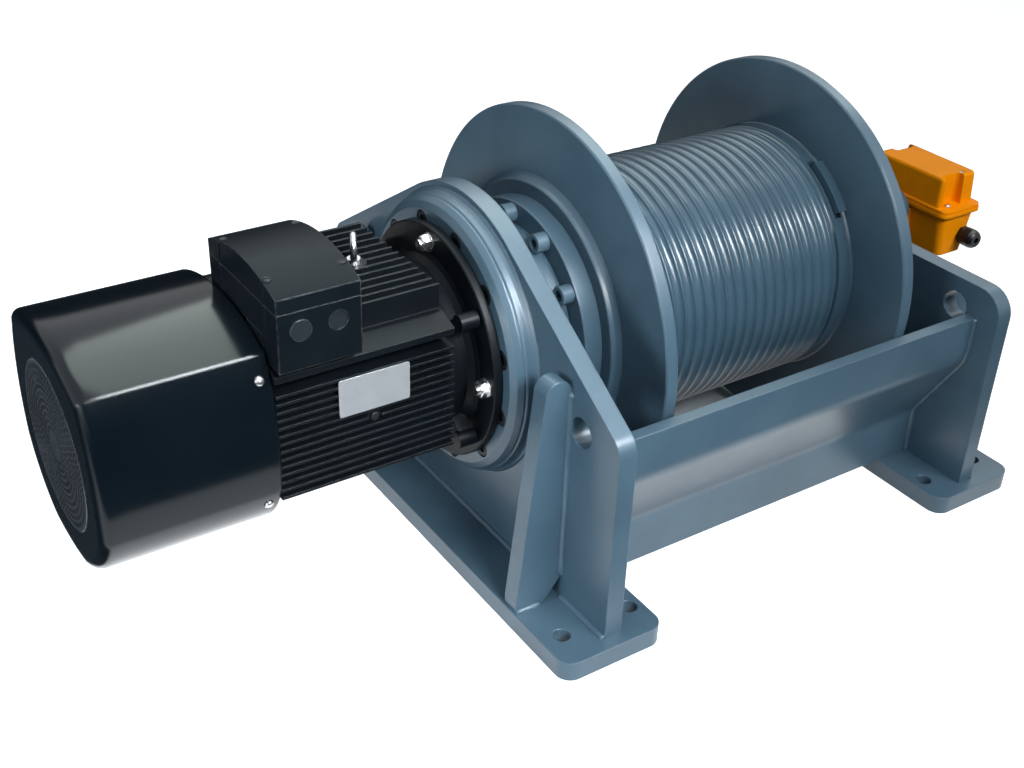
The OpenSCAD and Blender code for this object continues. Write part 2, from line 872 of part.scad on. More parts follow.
// Motor flange and drive end shield, one casting with four bolt lugs
module motor_flange_shield() {
    color(motor_black)
        difference() {
            union() {
                turned([[shaft_r + 4, flange_gap_x], [spigot_r, flange_gap_x],
                        [spigot_r, motor_x], [motor_flange_r - 1, motor_x],
                        [motor_flange_r, motor_x - 1], [motor_flange_r, motor_face_x + 1.5],
                        [motor_flange_r - 1.5, motor_face_x], [118, motor_face_x],
                        [112, motor_face_x - 3], [106, motor_face_x - 10],
                        [108, motor_face_x - 22], [motor_shell_r, fin_x1 + 8],
                        [motor_shell_r, fin_x1], [motor_bore_r - 6, fin_x1],
                        [motor_bore_r - 6, fin_x1 + 8], [de_bearing_r + 10, fin_x1 + 14],
                        [de_bearing_r + 10, fin_x1 + 2], [de_bearing_r, fin_x1 + 2],
                        [de_bearing_r, de_bearing_x + de_bearing_w],
                        [shaft_r + 4, de_bearing_x + de_bearing_w]]);
                for (sy = [-1, 1], sz = [-1, 1])
                    lay(motor_face_x - 26)
                        translate([sy * lug_y, sz * lug_z]) {
                            cylinder(h = 24, r = 10.5);
                            rotate(atan2(-sz * lug_z, -sy * lug_y))
                                translate([0, -8, 4])
                                    cube([36, 16, 18]);
                        }
            }
            around(4)
                translate([stud_pcd_r, 0, motor_face_x - 1])
                    cylinder(h = motor_flange_t + 2, r = stud_r + 1.25, $fn = 32);
        }
}

nut_h = 10;
nut_flange_r = 12;
nut_flange_t = 2.5;
stud_out = 16;

// Flanged nuts on the studs of the motor flange
module flange_stud_nuts() {
    deep = nut_h + nut_flange_t;
    color(zinc)
        around(4)
            translate([stud_pcd_r, 0, 0]) {
                difference() {
                    translate([0, 0, motor_face_x])
                        mirror([0, 0, 1]) {
                            hex_head(19, deep);
                            cylinder(h = nut_flange_t, r = nut_flange_r, $fn = 40);
                        }
                    translate([0, 0, motor_face_x - deep - 1])
                        cylinder(h = deep + 2, r = stud_r);
                }
                translate([0, 0, motor_face_x - stud_out])
                    cylinder(h = stud_out + motor_flange_t + stud_seat, r = stud_r);
            }
}

side_fins_n = 2 * floor(78 / side_fin_pitch);
top_fins_n = 2 * floor(98 / top_fin_pitch) + 1;
box_x0 = fin_x0 + 1;
box_x1 = box_x0 + box_l;
pad_z = fin_half + 1;
pad_front = 104;
ledge_z = 90;
ledge_rise = 9.5;
low_fin_r = fin_half - 4;
eye_x = box_x1 + 64;
label_x = fin_x0 + 117;
label_z = 41;
earth_z = 6;
earth_y = 122;

// Section of the finned motor frame: round shell, fins on four sides and smooth corners
module motor_section(top) {
    difference() {
        union() {
            circle(r = motor_shell_r, $fn = 96);
            for (i = [0 : side_fins_n - 1])
                translate([-fin_half, (i - (side_fins_n - 1) / 2) * side_fin_pitch - fin_t / 2])
                    square([2 * fin_half, fin_t]);
            for (i = [0 : top_fins_n - 1]) {
                x = (i - (top_fins_n - 1) / 2) * top_fin_pitch;
                low = sqrt(pow(low_fin_r, 2) - x * x);
                translate([x - fin_t / 2, -low])
                    square([fin_t, low + (top ? fin_half : 0)]);
            }
            for (sy = [-1, 1])
                polygon([[sy * 60, 70], [sy * fin_half, ledge_z - 8],
                         [sy * fin_half, ledge_z],
                         [sy * pad_front, ledge_z + ledge_rise],
                         [sy * 60, ledge_z + ledge_rise]]);
        }
        circle(r = motor_bore_r, $fn = 96);
    }
}

module motor_frame() {
    color(motor_black)
        difference() {
            union() {
                lay(fin_x0) linear_extrude(box_l + 2) motor_section(false);
                lay(box_x1) linear_extrude(fin_x1 - box_x1) motor_section(true);
                lay(fin_x0 - 14)
                    linear_extrude(fin_l)
                        difference() {
                            circle(r = motor_shell_r, $fn = 96);
                            circle(r = motor_bore_r, $fn = 96);
                        }
                lay(fin_x0)
                    linear_extrude(box_l + 1)
                        difference() {
                            translate([-pad_front, 40])
                                square([pad_front + box_back, pad_z - 40]);
                            circle(r = motor_bore_r + 4, $fn = 96);
                            translate([-64, 106]) square([60, pad_z]);
                        }
                translate([eye_x, 0, axis_h + motor_bore_r + 4])
                    cylinder(h = fin_half - motor_bore_r - 4, r = 15);
                translate([label_x, -earth_y - 5, axis_h + earth_z])
                    rotate([-90, 0, 0])
                        cylinder(h = 20, r = 8);
            }
            translate([eye_x, 0, axis_h + fin_half - 16])
                cylinder(h = 20, r = 4);
            translate([label_x, -earth_y - 5, axis_h + earth_z])
                rotate([-90, 0, 0]) {
                    translate([0, 0, -1]) cylinder(h = 13, r = 3);
                    translate([0, 0, -6]) cylinder(h = 6, r = 8.5);
                }
        }
}

core_mid = (fin_x0 + fin_x1) / 2 + 6;
core_x0 = core_mid - core_l / 2;
core_x1 = core_mid + core_l / 2;
rotor_r = 62;

module stator_core() {
    color(steel)
        lay(core_x0)
            linear_extrude(core_l)
                difference() {
                    circle(r = motor_bore_r, $fn = 96);
                    circle(r = rotor_r + air_gap, $fn = 96);
                }
}

// Ends of the windings that stand out of the core
module stator_windings() {
    color(copper)
        for (x = [core_x0 - 13, core_x1 + 13])
            lay(x)
                rotate_extrude($fn = 96)
                    translate([82, 0])
                        round_rect(26, 26, 8);
}

fan_shield_t = 12;
fan_shield_x1 = fin_x0 - 14;
fan_shield_x0 = fan_shield_x1 - fan_shield_t;
fan_bearing_w = 18;
lug_l = 13;
cowl_screw_x = cowl_x1 - 13;
screw_rise = [88, -70];

// Fan end shield with the rear bearing seat and the lugs that carry the cowl
module fan_end_shield() {
    color(motor_black)
        difference() {
            union() {
                turned([[fan_bearing_r, fan_shield_x0 + 2], [fan_bearing_r + 8, fan_shield_x0],
                        [motor_shell_r, fan_shield_x0], [motor_shell_r, fan_shield_x1],
                        [motor_bore_r, fan_shield_x1], [motor_bore_r, fan_shield_x1 + 6],
                        [motor_bore_r - 6, fan_shield_x1 + 6],
                        [motor_bore_r - 8, fan_shield_x1], [fan_bearing_r + 8, fan_shield_x1],
                        [fan_bearing_r + 8, fan_shield_x0 + 21],
                        [fan_bearing_r, fan_shield_x0 + 21]]);
                difference() {
                    lay(fan_shield_x0)
                        linear_extrude(fan_shield_t + lug_l)
                            intersection() {
                                cowl_outline(cowl_t + 0.1);
                                for (s = [-1, 1], dz = screw_rise)
                                    translate([s > 0 ? 70 : -170, dz - 9])
                                        square([100, 18]);
                            }
                    disc(fan_shield_x1, fan_shield_x1 + lug_l + 1, motor_shell_r + 0.2);
                }
            }
            cowl_screw_places()
                translate([0, 0, -12])
                    cylinder(h = 20, r = cowl_screw_r, $fn = 24);
        }
}

module motor_bearings() {
    color(steel) {
        bearing_ring(de_bearing_x, de_bearing_x + de_bearing_w, shaft_r + fit, de_bearing_r);
        bearing_ring(fan_shield_x0 + 2, fan_shield_x0 + 2 + fan_bearing_w,
                     shaft_r + fit, fan_bearing_r);
    }
}

// Brake behind the fan end shield

lining_t = 9;
lining_gap = 0.3;
armature_t = 8;
magnet_l = 48;
brake_r = 88;
lining_x1 = fan_shield_x0 - lining_gap;
lining_x0 = lining_x1 - lining_t;
armature_x1 = lining_x0 - lining_gap;
armature_x0 = armature_x1 - armature_t;
magnet_x1 = armature_x0 - brake_gap;
magnet_x0 = magnet_x1 - magnet_l;
spacer_pcd = 78;
spacer_r = 6;

// Magnet body with its coil groove and the three spacers that hold it on the shield
module brake_magnet() {
    color(steel) {
        turned([[30, magnet_x0], [brake_r - 3, magnet_x0], [brake_r, magnet_x0 + 3],
                [brake_r, magnet_x1], [62, magnet_x1], [62, magnet_x1 - 4],
                [42, magnet_x1 - 4], [42, magnet_x1], [30, magnet_x1]]);
        around(3, 90)
            translate([spacer_pcd, 0, magnet_x1 - 1])
                cylinder(h = fan_shield_x0 - magnet_x1 + 1, r = spacer_r);
    }
}

module brake_armature() {
    color(steel)
        disc_ring(armature_x0, armature_x1, 30, spacer_pcd - spacer_r - 2);
}

module disc_ring(x0, x1, inner, outer) {
    lay(x0)
        linear_extrude(x1 - x0)
            difference() {
                circle(r = outer, $fn = 96);
                circle(r = inner, $fn = 96);
            }
}

shaft_thin_r = 15;
module brake_disc() {
    color(steel)
        turned([[shaft_thin_r, lining_x0 - 16], [26, lining_x0 - 16], [26, lining_x0],
                [spacer_pcd - spacer_r - 4, lining_x0], [spacer_pcd - spacer_r - 4, lining_x1],
                [shaft_thin_r, lining_x1]]);
}

fan_x1 = magnet_x0 - 12;
fan_w = 56;
fan_x0 = fan_x1 - fan_w;
fan_r = 112;
fan_blades = 8;

module fan() {
    color(motor_black) {
        turned([[shaft_thin_r, fan_x0 + 4], [30, fan_x0 + 4], [34, fan_x1 - 8],
                [76, fan_x1 - 4], [76, fan_x1], [shaft_thin_r, fan_x1]]);
        around(fan_blades)
            translate([28, -1.5, fan_x0])
                linear_extrude(fan_w - 1)
                    square([fan_r - 28, 3]);
    }
}

shaft_x0 = fan_x0 - 2;
core_seat_r = 24;

module motor_shaft() {
    color(steel)
        difference() {
            turned([[0, shaft_x0], [shaft_thin_r - 1, shaft_x0], [shaft_thin_r, shaft_x0 + 1],
                    [shaft_thin_r, fan_shield_x0 - 0.2], [shaft_r, fan_shield_x0 - 0.2],
                    [shaft_r, core_x0 - 20], [core_seat_r, core_x0 - 20],
                    [core_seat_r, core_x1 + 20], [shaft_r, core_x1 + 20],
                    [shaft_r, motor_x + 2], [0, motor_x + 2]]);
            disc(motor_x - sun_grip, motor_x + 3, sun_shaft_r);
        }
}

module rotor_core() {
    color(steel) disc_ring(core_x0, core_x1, core_seat_r, rotor_r);
}

// Fan cowl

side_r = (cowl_corner * cowl_corner + pow(cowl_half - cowl_corner, 2))
    / (2 * (cowl_half - cowl_corner));
lower_corner_r = 142;

// Section of the cowl, drawn in by d: four domed sides, sharp on top and round below
module cowl_outline(d) {
    intersection() {
        intersection_for (a = [0 : 90 : 270])
            rotate(a)
                translate([cowl_half - side_r, 0])
                    circle(r = side_r - d, $fn = 180);
        union() {
            circle(r = lower_corner_r - d, $fn = 128);
            translate([-200, 0]) square([400, 200]);
        }
    }
}

// Rounded closed end of the cowl, blended from the outline drawn in step by step
module cowl_body(d) {
    r = cowl_edge_r - d;
    lay(cowl_x0 + cowl_edge_r)
        linear_extrude(cowl_l - cowl_edge_r + (d > 0 ? 1 : 0))
            cowl_outline(d);
    hull()
        for (a = [0 : 18 : 90])
            lay(cowl_x0 + d + r * (1 - sin(a)))
                linear_extrude(0.01)
                    cowl_outline(d + r * (1 - cos(a)));
}

// Screw places on both sides, square to the sheet, with Z = 0 on its inner face
module cowl_screw_places() {
    for (s = [-1, 1]) {
        translate([cowl_screw_x, s * (cowl_half - side_r), axis_h])
            rotate([-s * (90 - asin(screw_rise[0] / side_r)), 0, 0])
                translate([0, 0, side_r - cowl_t])
                    children();
        translate([cowl_screw_x, 0, axis_h])
            rotate([-s * (90 - asin(screw_rise[1] / lower_corner_r)), 0, 0])
                translate([0, 0, lower_corner_r - cowl_t])
                    children();
    }
}

module fan_cowl() {
    color(cowl_black)
        difference() {
            cowl_body(0);
            cowl_body(cowl_t);
            disc(cowl_x0 - 1, cowl_x0 + cowl_t + 2, grille_r);
            cowl_screw_places()
                translate([0, 0, -4])
                    cylinder(h = 20, r = cowl_screw_r + 0.5, $fn = 24);
        }
}

// Perforated end: rings of six sided holes round a closed middle
module fan_grille() {
    pitch = (grille_r - 4 - grille_hub_r) / grille_rings;
    color(cowl_black)
        lay(cowl_x0)
            linear_extrude(cowl_t)
                difference() {
                    circle(r = grille_r, $fn = 96);
                    for (i = [0 : grille_rings - 1]) {
                        r = grille_hub_r + (i + 0.5) * pitch;
                        count = floor(2 * PI * r / (3.1 * grille_hole_r));
                        for (k = [0 : count - 1])
                            rotate(360 * k / count)
                                translate([r, 0])
                                    circle(r = grille_hole_r, $fn = 6);
                    }
                }
}

cowl_screw_r = 2.5;
module cowl_screws() {
    color(zinc)
        cowl_screw_places() {
            translate([0, 0, -12]) cylinder(h = 13 + cowl_t, r = cowl_screw_r, $fn = 24);
            translate([0, 0, cowl_t + 0.1])
                rotate_extrude($fn = 32)
                    polygon([[0, 0], [5.5, 0], [5.3, 1.6], [3.6, 2.9], [0, 3.3]]);
        }
}

// Terminal box on the motor's upper front corner

box_low = ledge_z + ledge_rise + 0.5;
box_mid = (box_back - box_front) / 2;
lid_half = (box_front + box_back) / 2;
lid_r = (lid_half * lid_half + lid_crown * lid_crown) / (2 * lid_crown);
lid_wall = 3;
lid_screw_r = 2.5;
lid_screw_in = 6;
lid_screw_y = [box_mid - 56, box_mid + 56];
lid_screw_x = [box_x0 + lid_screw_in, box_x1 - lid_screw_in];
entry_y = -box_front;
entry_z = 147;
entry_x = [box_x0 + 26, box_x1 - 27];
entry_hole_r = entry_r - 1.5;
cable_hole_r = 18;

// Height of the lid's top face above the axis at a place across it
function lid_top(y) = box_split + lid_edge + lid_crown - lid_r
    + sqrt(lid_r * lid_r - pow(y - box_mid, 2));

module lid_posts(z0, z1, r) {
    for (x = lid_screw_x, y = lid_screw_y)
        translate([x, y, axis_h + z0])
            cylinder(h = z1 - z0, r = r, $fn = 32);
}

module terminal_box() {
    w = box_wall;
    color(motor_black)
        difference() {
            union() {
                difference() {
                    lay(box_x0)
                        linear_extrude(box_l)
                            polygon([[-box_front, box_low], [-box_front, box_split],
                                     [box_back, box_split], [box_back, pad_z],
                                     [-pad_front, pad_z], [-pad_front, box_low]]);
                    lay(box_x0 + w)
                        linear_extrude(box_l - 2 * w)
                            polygon([[w - box_front, box_low + w],
                                     [w - box_front, box_split + 1],
                                     [box_back - w, box_split + 1],
                                     [box_back - w, pad_z + w],
                                     [-pad_front - w, pad_z + w],
                                     [-pad_front - w, box_low + w]]);
                }
                lid_posts(pad_z + 1, box_split, 7);
            }
            lid_posts(box_split - 16, box_split + 1, lid_screw_r);
            for (x = entry_x)
                translate([x, entry_y - 1, axis_h + entry_z])
                    rotate([-90, 0, 0])
                        cylinder(h = w + 2, r = entry_hole_r, $fn = 48);
            translate([box_x0 + box_l / 2, box_mid, axis_h + pad_z - 1])
                cylinder(h = w + 2, r = cable_hole_r, $fn = 48);
        }
}

// Section of the lid, drawn in by d
module lid_section(d, below) {
    intersection() {
        translate([box_mid, box_split + lid_edge + lid_crown - lid_r])
            circle(r = lid_r - d, $fn = 256);
        translate([-box_front + d, box_split - below])
            square([2 * lid_half - 2 * d, 90]);
    }
}

module terminal_lid() {
    color(motor_black)
        difference() {
            union() {
                difference() {
                    lay(box_x0) linear_extrude(box_l) lid_section(0, 0);
                    lay(box_x0 + lid_wall)
                        linear_extrude(box_l - 2 * lid_wall)
                            lid_section(lid_wall, 1);
                }
                lid_posts(box_split, lid_top(lid_screw_y[0]) - 2, 7);
            }
            lid_posts(box_split - 1, box_split + 60, lid_screw_r + 0.3);
            lid_posts(lid_top(lid_screw_y[0]) - 2.5, box_split + 60, 4.6);
        }
}

module lid_screws() {
    z = lid_top(lid_screw_y[0]) - 2.5;
    color(motor_black) {
        lid_posts(box_split - 12, z, lid_screw_r);
        lid_posts(z, z + 2.6, 4);
    }
}

// Left entry closed by a screwed plug, right entry by its recessed knock-out
module entry_plugs() {
    color(motor_black) {
        translate([entry_x[0], entry_y, axis_h + entry_z]) {
            rotate([90, 0, 0]) cylinder(h = 2.5, r = entry_r, $fn = 48);
            rotate([-90, 0, 0]) cylinder(h = box_wall + 3, r = entry_hole_r, $fn = 48);
        }
        translate([entry_x[1], entry_y + 2, axis_h + entry_z])
            rotate([-90, 0, 0])
                cylinder(h = box_wall - 2, r = entry_hole_r, $fn = 48);
    }
}

// Block with six studs, and a foot at each end
module terminal_block() {
    l = box_l - 30;
    color([0.35, 0.14, 0.08])
        translate([box_x0 + box_l / 2 - l / 2, box_back - 68, axis_h + pad_z + box_wall]) {
            cube([l, 36, 9]);
            for (i = [0 : 2], j = [0, 1])
                translate([l * (i + 0.5) / 3, 9 + 18 * j, 8])
                    cylinder(h = 12, r = 2.5, $fn = 24);
        }
}

eye_tube = 4;
eye_collar = 6;
module eyebolt() {
    color(zinc)
        translate([eye_x, 0, axis_h + fin_half]) {
            translate([0, 0, -14]) cylinder(h = 15, r = 4, $fn = 32);
            cylinder(h = eye_collar, r1 = 10, r2 = 8, $fn = 48);
            translate([0, 0, eye_collar + eye_r - eye_tube])
                rotate([0, 0, -26])
                    rotate([0, 90, 0])
                        rotate_extrude($fn = 48)
                            translate([eye_r - eye_tube, 0])
                                circle(r = eye_tube, $fn = 24);
        }
}

module name_plate() {
    color(zinc)
        translate([label_x, -fin_half, axis_h + label_z])
            rotate([90, 0, 0])
                linear_extrude(1.2)
                    round_rect(plate_label_l, plate_label_h, 3);
}

module earth_screw() {
    color(zinc)
        translate([label_x, -earth_y - 5, axis_h + earth_z]) {
            rotate([-90, 0, 0]) cylinder(h = 10, r = 3, $fn = 24);
            rotate([90, 0, 0]) hex_head(9, 3.5);
        }
}

// Right bearing and the limit switch on the drum's shaft end

bearing_flange_t = 14;
bearing_end = drum_bearing_x + drum_bearing_w + 2;
cap_t = 10;
cap_bolt_r = 71;
cap_lip_r = drum_bearing_r - 7;
switch_x = plate_out + switch_stand;
pad_t = 6;
bracket_x1 = switch_x - pad_t;
pad_half = 24;
pad_low = 34;
pad_high = 14;
tube_r = 30;

module bearing_housing() {
    color(grey_paint)
        difference() {
            turned([[journal_r + 10, plate_in + 4], [spigot_right_r, plate_in + 4],
                    [spigot_right_r, plate_out], [bearing_flange_r, plate_out],
                    [bearing_flange_r, plate_out + bearing_flange_t - 2],
                    [bearing_flange_r - 2, plate_out + bearing_flange_t],
                    [bearing_body_r + 1.5, plate_out + bearing_flange_t],
                    [bearing_body_r, plate_out + bearing_flange_t + 1.5],
                    [bearing_body_r, bearing_end], [drum_bearing_r, bearing_end],
                    [drum_bearing_r, drum_bearing_x], [journal_r + 10, drum_bearing_x]]);
            around(housing_bolts_n)
                translate([housing_bolt_r, 0, plate_out - 1])
                    cylinder(h = bearing_flange_t + 2, r = stud_r + 0.75, $fn = 32);
            around(4, 45)
                translate([cap_bolt_r, 0, bearing_end - 14])
                    cylinder(h = 15, r = 4, $fn = 32);
        }
}

module bearing_bolts() {
    color(zinc) {
        around(housing_bolts_n)
            translate([housing_bolt_r, 0, plate_out + bearing_flange_t]) {
                hex_head(18, 7.5);
                translate([0, 0, -bearing_flange_t - 18])
                    cylinder(h = bearing_flange_t + 19, r = stud_r, $fn = 32);
            }
        around(4, 45)
            translate([cap_bolt_r, 0, bearing_end + cap_t]) {
                hex_head(13, 5.3);
                translate([0, 0, -cap_t - 12])
                    cylinder(h = cap_t + 13, r = 4, $fn = 32);
            }
    }
}

// Bearing cap with the open standoff that carries the limit switch
module switch_bracket() {
    x0 = bearing_end + cap_t;
    color(grey_paint)
        difference() {
            union() {
                turned([[20, bearing_end - 0.5], [cap_lip_r, bearing_end - 0.5],
                        [cap_lip_r, journal_end], [drum_bearing_r - 0.2, journal_end],
                        [drum_bearing_r - 0.2, bearing_end], [bearing_body_r - 1, bearing_end],
                        [bearing_body_r - 1, x0 - 1.5], [bearing_body_r - 2.5, x0],
                        [tube_r, x0], [tube_r, bracket_x1 - 4], [25, bracket_x1 - 4],
                        [25, x0 - 3], [20, x0 - 3]]);
                translate([bracket_x1 - 8, -pad_half, axis_h - pad_low])
                    cube([8, 2 * pad_half, pad_low + pad_high]);
            }
            disc(bracket_x1 - 9, bracket_x1 + 1, 12);
            translate([x0 + 14, -50, axis_h - 14])
                cube([bracket_x1 - x0 - 36, 100, 28]);
            around(4, 45)
                translate([cap_bolt_r, 0, bearing_end - 1])
                    cylinder(h = cap_t + 2, r = 4.5, $fn = 32);
        }
}

switch_mid_y = -12.6;
rim_h = 17;
rim_t = 6;
switch_mid_x = switch_x + switch_w / 2;
cam_x = switch_x + 37;
cam_z = axis_h + 24.3;
post_y = [-54, 30];
switch_bottom = axis_h + rim_h - rim_t - switch_base_h;

// A flat rounded slab of the limit switch, centred on the switch
module switch_slab(w, l, r, z, t = 0.01, y = switch_mid_y) {
    translate([switch_mid_x, y, z])
        linear_extrude(t)
            round_rect(w, l, r);
}

module switch_base() {
    rim_z = axis_h + rim_h - rim_t;
    color(orange)
        difference() {
            union() {
                difference() {
                    union() {
                        switch_slab(switch_w + 8, switch_l + 2 * switch_rim, 12, rim_z, rim_t);
                        hull() {
                            switch_slab(switch_w, switch_l + 22, 12, rim_z);
                            switch_slab(switch_w - 22, switch_l + 16, 10, switch_bottom);
                        }
                        translate([bracket_x1, -pad_half, axis_h - pad_low])
                            cube([26, 2 * pad_half, pad_low + pad_high - rim_t - 2]);
                    }
                    hull() {
                        switch_slab(switch_w - 9, switch_l + 8, 8, rim_z + rim_t + 1);
                        switch_slab(switch_w - 32, switch_l + 4, 6, switch_bottom + 5);
                    }
                }
                for (y = post_y)
                    translate([cam_x - 9, y, switch_bottom + 3])
                        cube([18, 4, cam_z + 8 - switch_bottom - 3]);
                switch_screw_places()
                    translate([0, 0, -16])
                        cylinder(h = 16, r = 6.5, $fn = 32);
            }
            disc(bracket_x1 - 1, switch_x + 22, stub_r + 0.4);
            for (y = post_y)
                translate([cam_x, y - 1, cam_z])
                    rotate([-90, 0, 0])
                        cylinder(h = 6, r = cam_shaft_r + fit);
            translate([gland_x, switch_mid_y - switch_l / 2 - 12, gland_z])
                rotate([-90, 0, 0])
                    cylinder(h = 20, r = gland_thread_r, $fn = 40);
            switch_screw_places()
                translate([0, 0, -rim_t - 6])
                    cylinder(h = rim_t + 7, r = 2.5, $fn = 24);
        }
}

gland_x = switch_x + 55;
gland_z = axis_h - 27;
gland_thread_r = 9;
cam_shaft_r = 4;
cover_y = switch_mid_y + 5;
cover_half = switch_l / 2 + 7;
channel_w = 39;
channel_in = 14.5;

// The two ends of the switch cover, with Z = 0 at the split line
module cover_ends() {
    for (a = [0, 180])
        translate([switch_mid_x, cover_y, axis_h + rim_h])
            rotate(a)
                children();
}

module switch_screw_places() {
    cover_ends()
        translate([-17, 2 - cover_half, 0])
            children();
}

module switch_cover() {
    z0 = axis_h + rim_h;
    w = switch_w;
    l = 2 * cover_half;
    h = switch_cover_h;
    color(orange)
        difference() {
            union() {
                switch_slab(w + 6, switch_l + 2 * switch_rim - 3, 11, z0, 5);
                hull() {
                    switch_slab(w, l, 8, z0, y = cover_y);
                    switch_slab(w - 4, l - 5, 7, z0 + h, y = cover_y);
                    switch_slab(w - 8, l - 9, 6, z0 + h + 3.5, y = cover_y);
                }
            }
            hull() {
                switch_slab(w - 10, l - 37, 6, z0 - 1, y = cover_y);
                switch_slab(w - 13, l - 39, 6, z0 + h, y = cover_y);
            }
            cover_ends()
                translate([-11.5, channel_in - cover_half - 20, 5])
                    linear_extrude(60)
                        round_rect(channel_w, 40, 6);
            switch_screw_places()
                translate([0, 0, -1])
                    cylinder(h = 8, r = 2.8, $fn = 24);
            translate([switch_mid_x + 14.5, cover_y - 54, z0 + h])
                cylinder(h = 5, r = 4.2, $fn = 32);
        }
}

module switch_screws() {
    color(zinc) {
        switch_screw_places() {
            translate([0, 0, -11]) cylinder(h = 16.5, r = 2.5, $fn = 24);
            translate([0, 0, 5])
                rotate_extrude($fn = 32)
                    polygon([[0, 0], [4.8, 0], [4.6, 1.6], [3.2, 2.8], [0, 3.2]]);
        }
        translate([switch_mid_x + 14.5, cover_y - 54, axis_h + rim_h + switch_cover_h])
            cylinder(h = 2.6, r = 4.2, $fn = 32);
    }
}

// Cable gland on the switch's front end; no cable is in it
module cable_gland() {
    color(gland_black)
        translate([gland_x, switch_mid_y - switch_l / 2 - 10, gland_z])
            rotate([90, 0, 0])
                difference() {
                    union() {
                        translate([0, 0, -9]) cylinder(h = 9, r = gland_thread_r, $fn = 40);
                        hex_head(24, 7);
                        rotate_extrude($fn = 48)
                            polygon([[0, 6], [gland_r - 2.5, 6], [gland_r - 0.5, 9],
                                     [gland_r - 0.5, 20], [gland_r - 2, 25],
                                     [gland_r - 4.5, 28], [0, 28]]);
                    }
                    translate([0, 0, -10]) cylinder(h = 40, r = 5, $fn = 32);
                }
}

// Cam drum of the limit switch, turned slowly by a worm on the drum's shaft end
module cam_shaft() {
    color(steel)
        translate([cam_x, 0, cam_z])
            rotate([-90, 0, 0]) {
                translate([0, 0, post_y[0] - 1])
                    cylinder(h = post_y[1] - post_y[0] + 6, r = cam_shaft_r, $fn = 32);
                translate([0, 0, -5]) cylinder(h = 10, r = 14, $fn = 48);
                for (i = [0 : 3])
                    translate([0, 0, 10 * i - 48])
                        linear_extrude(7)
                            rotate(i * 70)
                                difference() {
                                    circle(r = 13, $fn = 48);
                                    translate([10, -6]) square([8, 12]);
                                }
            }
}

side_plate_left();
side_plate_right();
foot_left();
foot_right();
gussets();
crossmember_front();
crossmember_rear();
mounting_ring();
gearbox_spindle();
flange_screws();
drum_bearings();
motor_flange_shield();
flange_stud_nuts();
motor_frame();
stator_core();
stator_windings();
fan_end_shield();
motor_bearings();
brake_magnet();
fan_cowl();
fan_grille();
cowl_screws();
terminal_box();
terminal_lid();
lid_screws();
entry_plugs();
terminal_block();
eyebolt();
name_plate();
earth_screw();
bearing_housing();
bearing_bolts();
switch_bracket();
switch_base();
switch_cover();
switch_screws();
cable_gland();
drum_barrel();
drum_flange_left();
drum_flange_right();
stiffener_disc();
gear_housing();
ring_gear();
housing_screws();
end_shaft();
rope_wedge();
motor_shaft();
sun_shaft();
rotor_core();
fan();
brake_disc();
first_carrier();
first_planet_a();
first_planet_b();
first_planet_c();
output_planet_a();
output_planet_b();
output_planet_c();
cam_shaft();
brake_armature();
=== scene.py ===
"""Looks of an electric winch: painted frame and drum, black brake motor, orange limit switch.

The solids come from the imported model. This script adds the finishes, the finer shapes that
the solids leave plain, the floor, the lamps and the camera.
"""

import logging
import math
from dataclasses import dataclass
from enum import Enum
from typing import Iterable, Sequence, Union

import bpy
from mathutils import Matrix, Vector

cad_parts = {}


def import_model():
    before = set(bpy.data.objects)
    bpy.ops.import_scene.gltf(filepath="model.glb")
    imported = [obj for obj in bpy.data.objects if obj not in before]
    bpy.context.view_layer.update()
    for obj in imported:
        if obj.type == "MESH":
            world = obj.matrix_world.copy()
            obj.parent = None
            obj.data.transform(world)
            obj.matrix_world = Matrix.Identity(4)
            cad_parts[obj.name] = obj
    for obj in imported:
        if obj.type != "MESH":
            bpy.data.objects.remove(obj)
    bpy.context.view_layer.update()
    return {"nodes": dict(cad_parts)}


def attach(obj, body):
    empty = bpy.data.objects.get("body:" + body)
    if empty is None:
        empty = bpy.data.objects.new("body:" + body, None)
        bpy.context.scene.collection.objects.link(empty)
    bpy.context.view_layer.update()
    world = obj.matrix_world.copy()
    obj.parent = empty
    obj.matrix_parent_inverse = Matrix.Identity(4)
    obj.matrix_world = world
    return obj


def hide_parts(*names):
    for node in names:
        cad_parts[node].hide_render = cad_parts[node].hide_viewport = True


LOG = logging.getLogger("winch")
AXIS_HEIGHT = 0.280
BEAD_SIDES = 12
BEAD_STEP = 0.0045
BEAD_RIPPLE = 0.07
BEAD_DRIFT = 0.05
BEAD_DRIFT_RATE = 0.37
BEAD_END = 0.5

Colour = tuple[float, float, float]
Point = tuple[float, float, float]


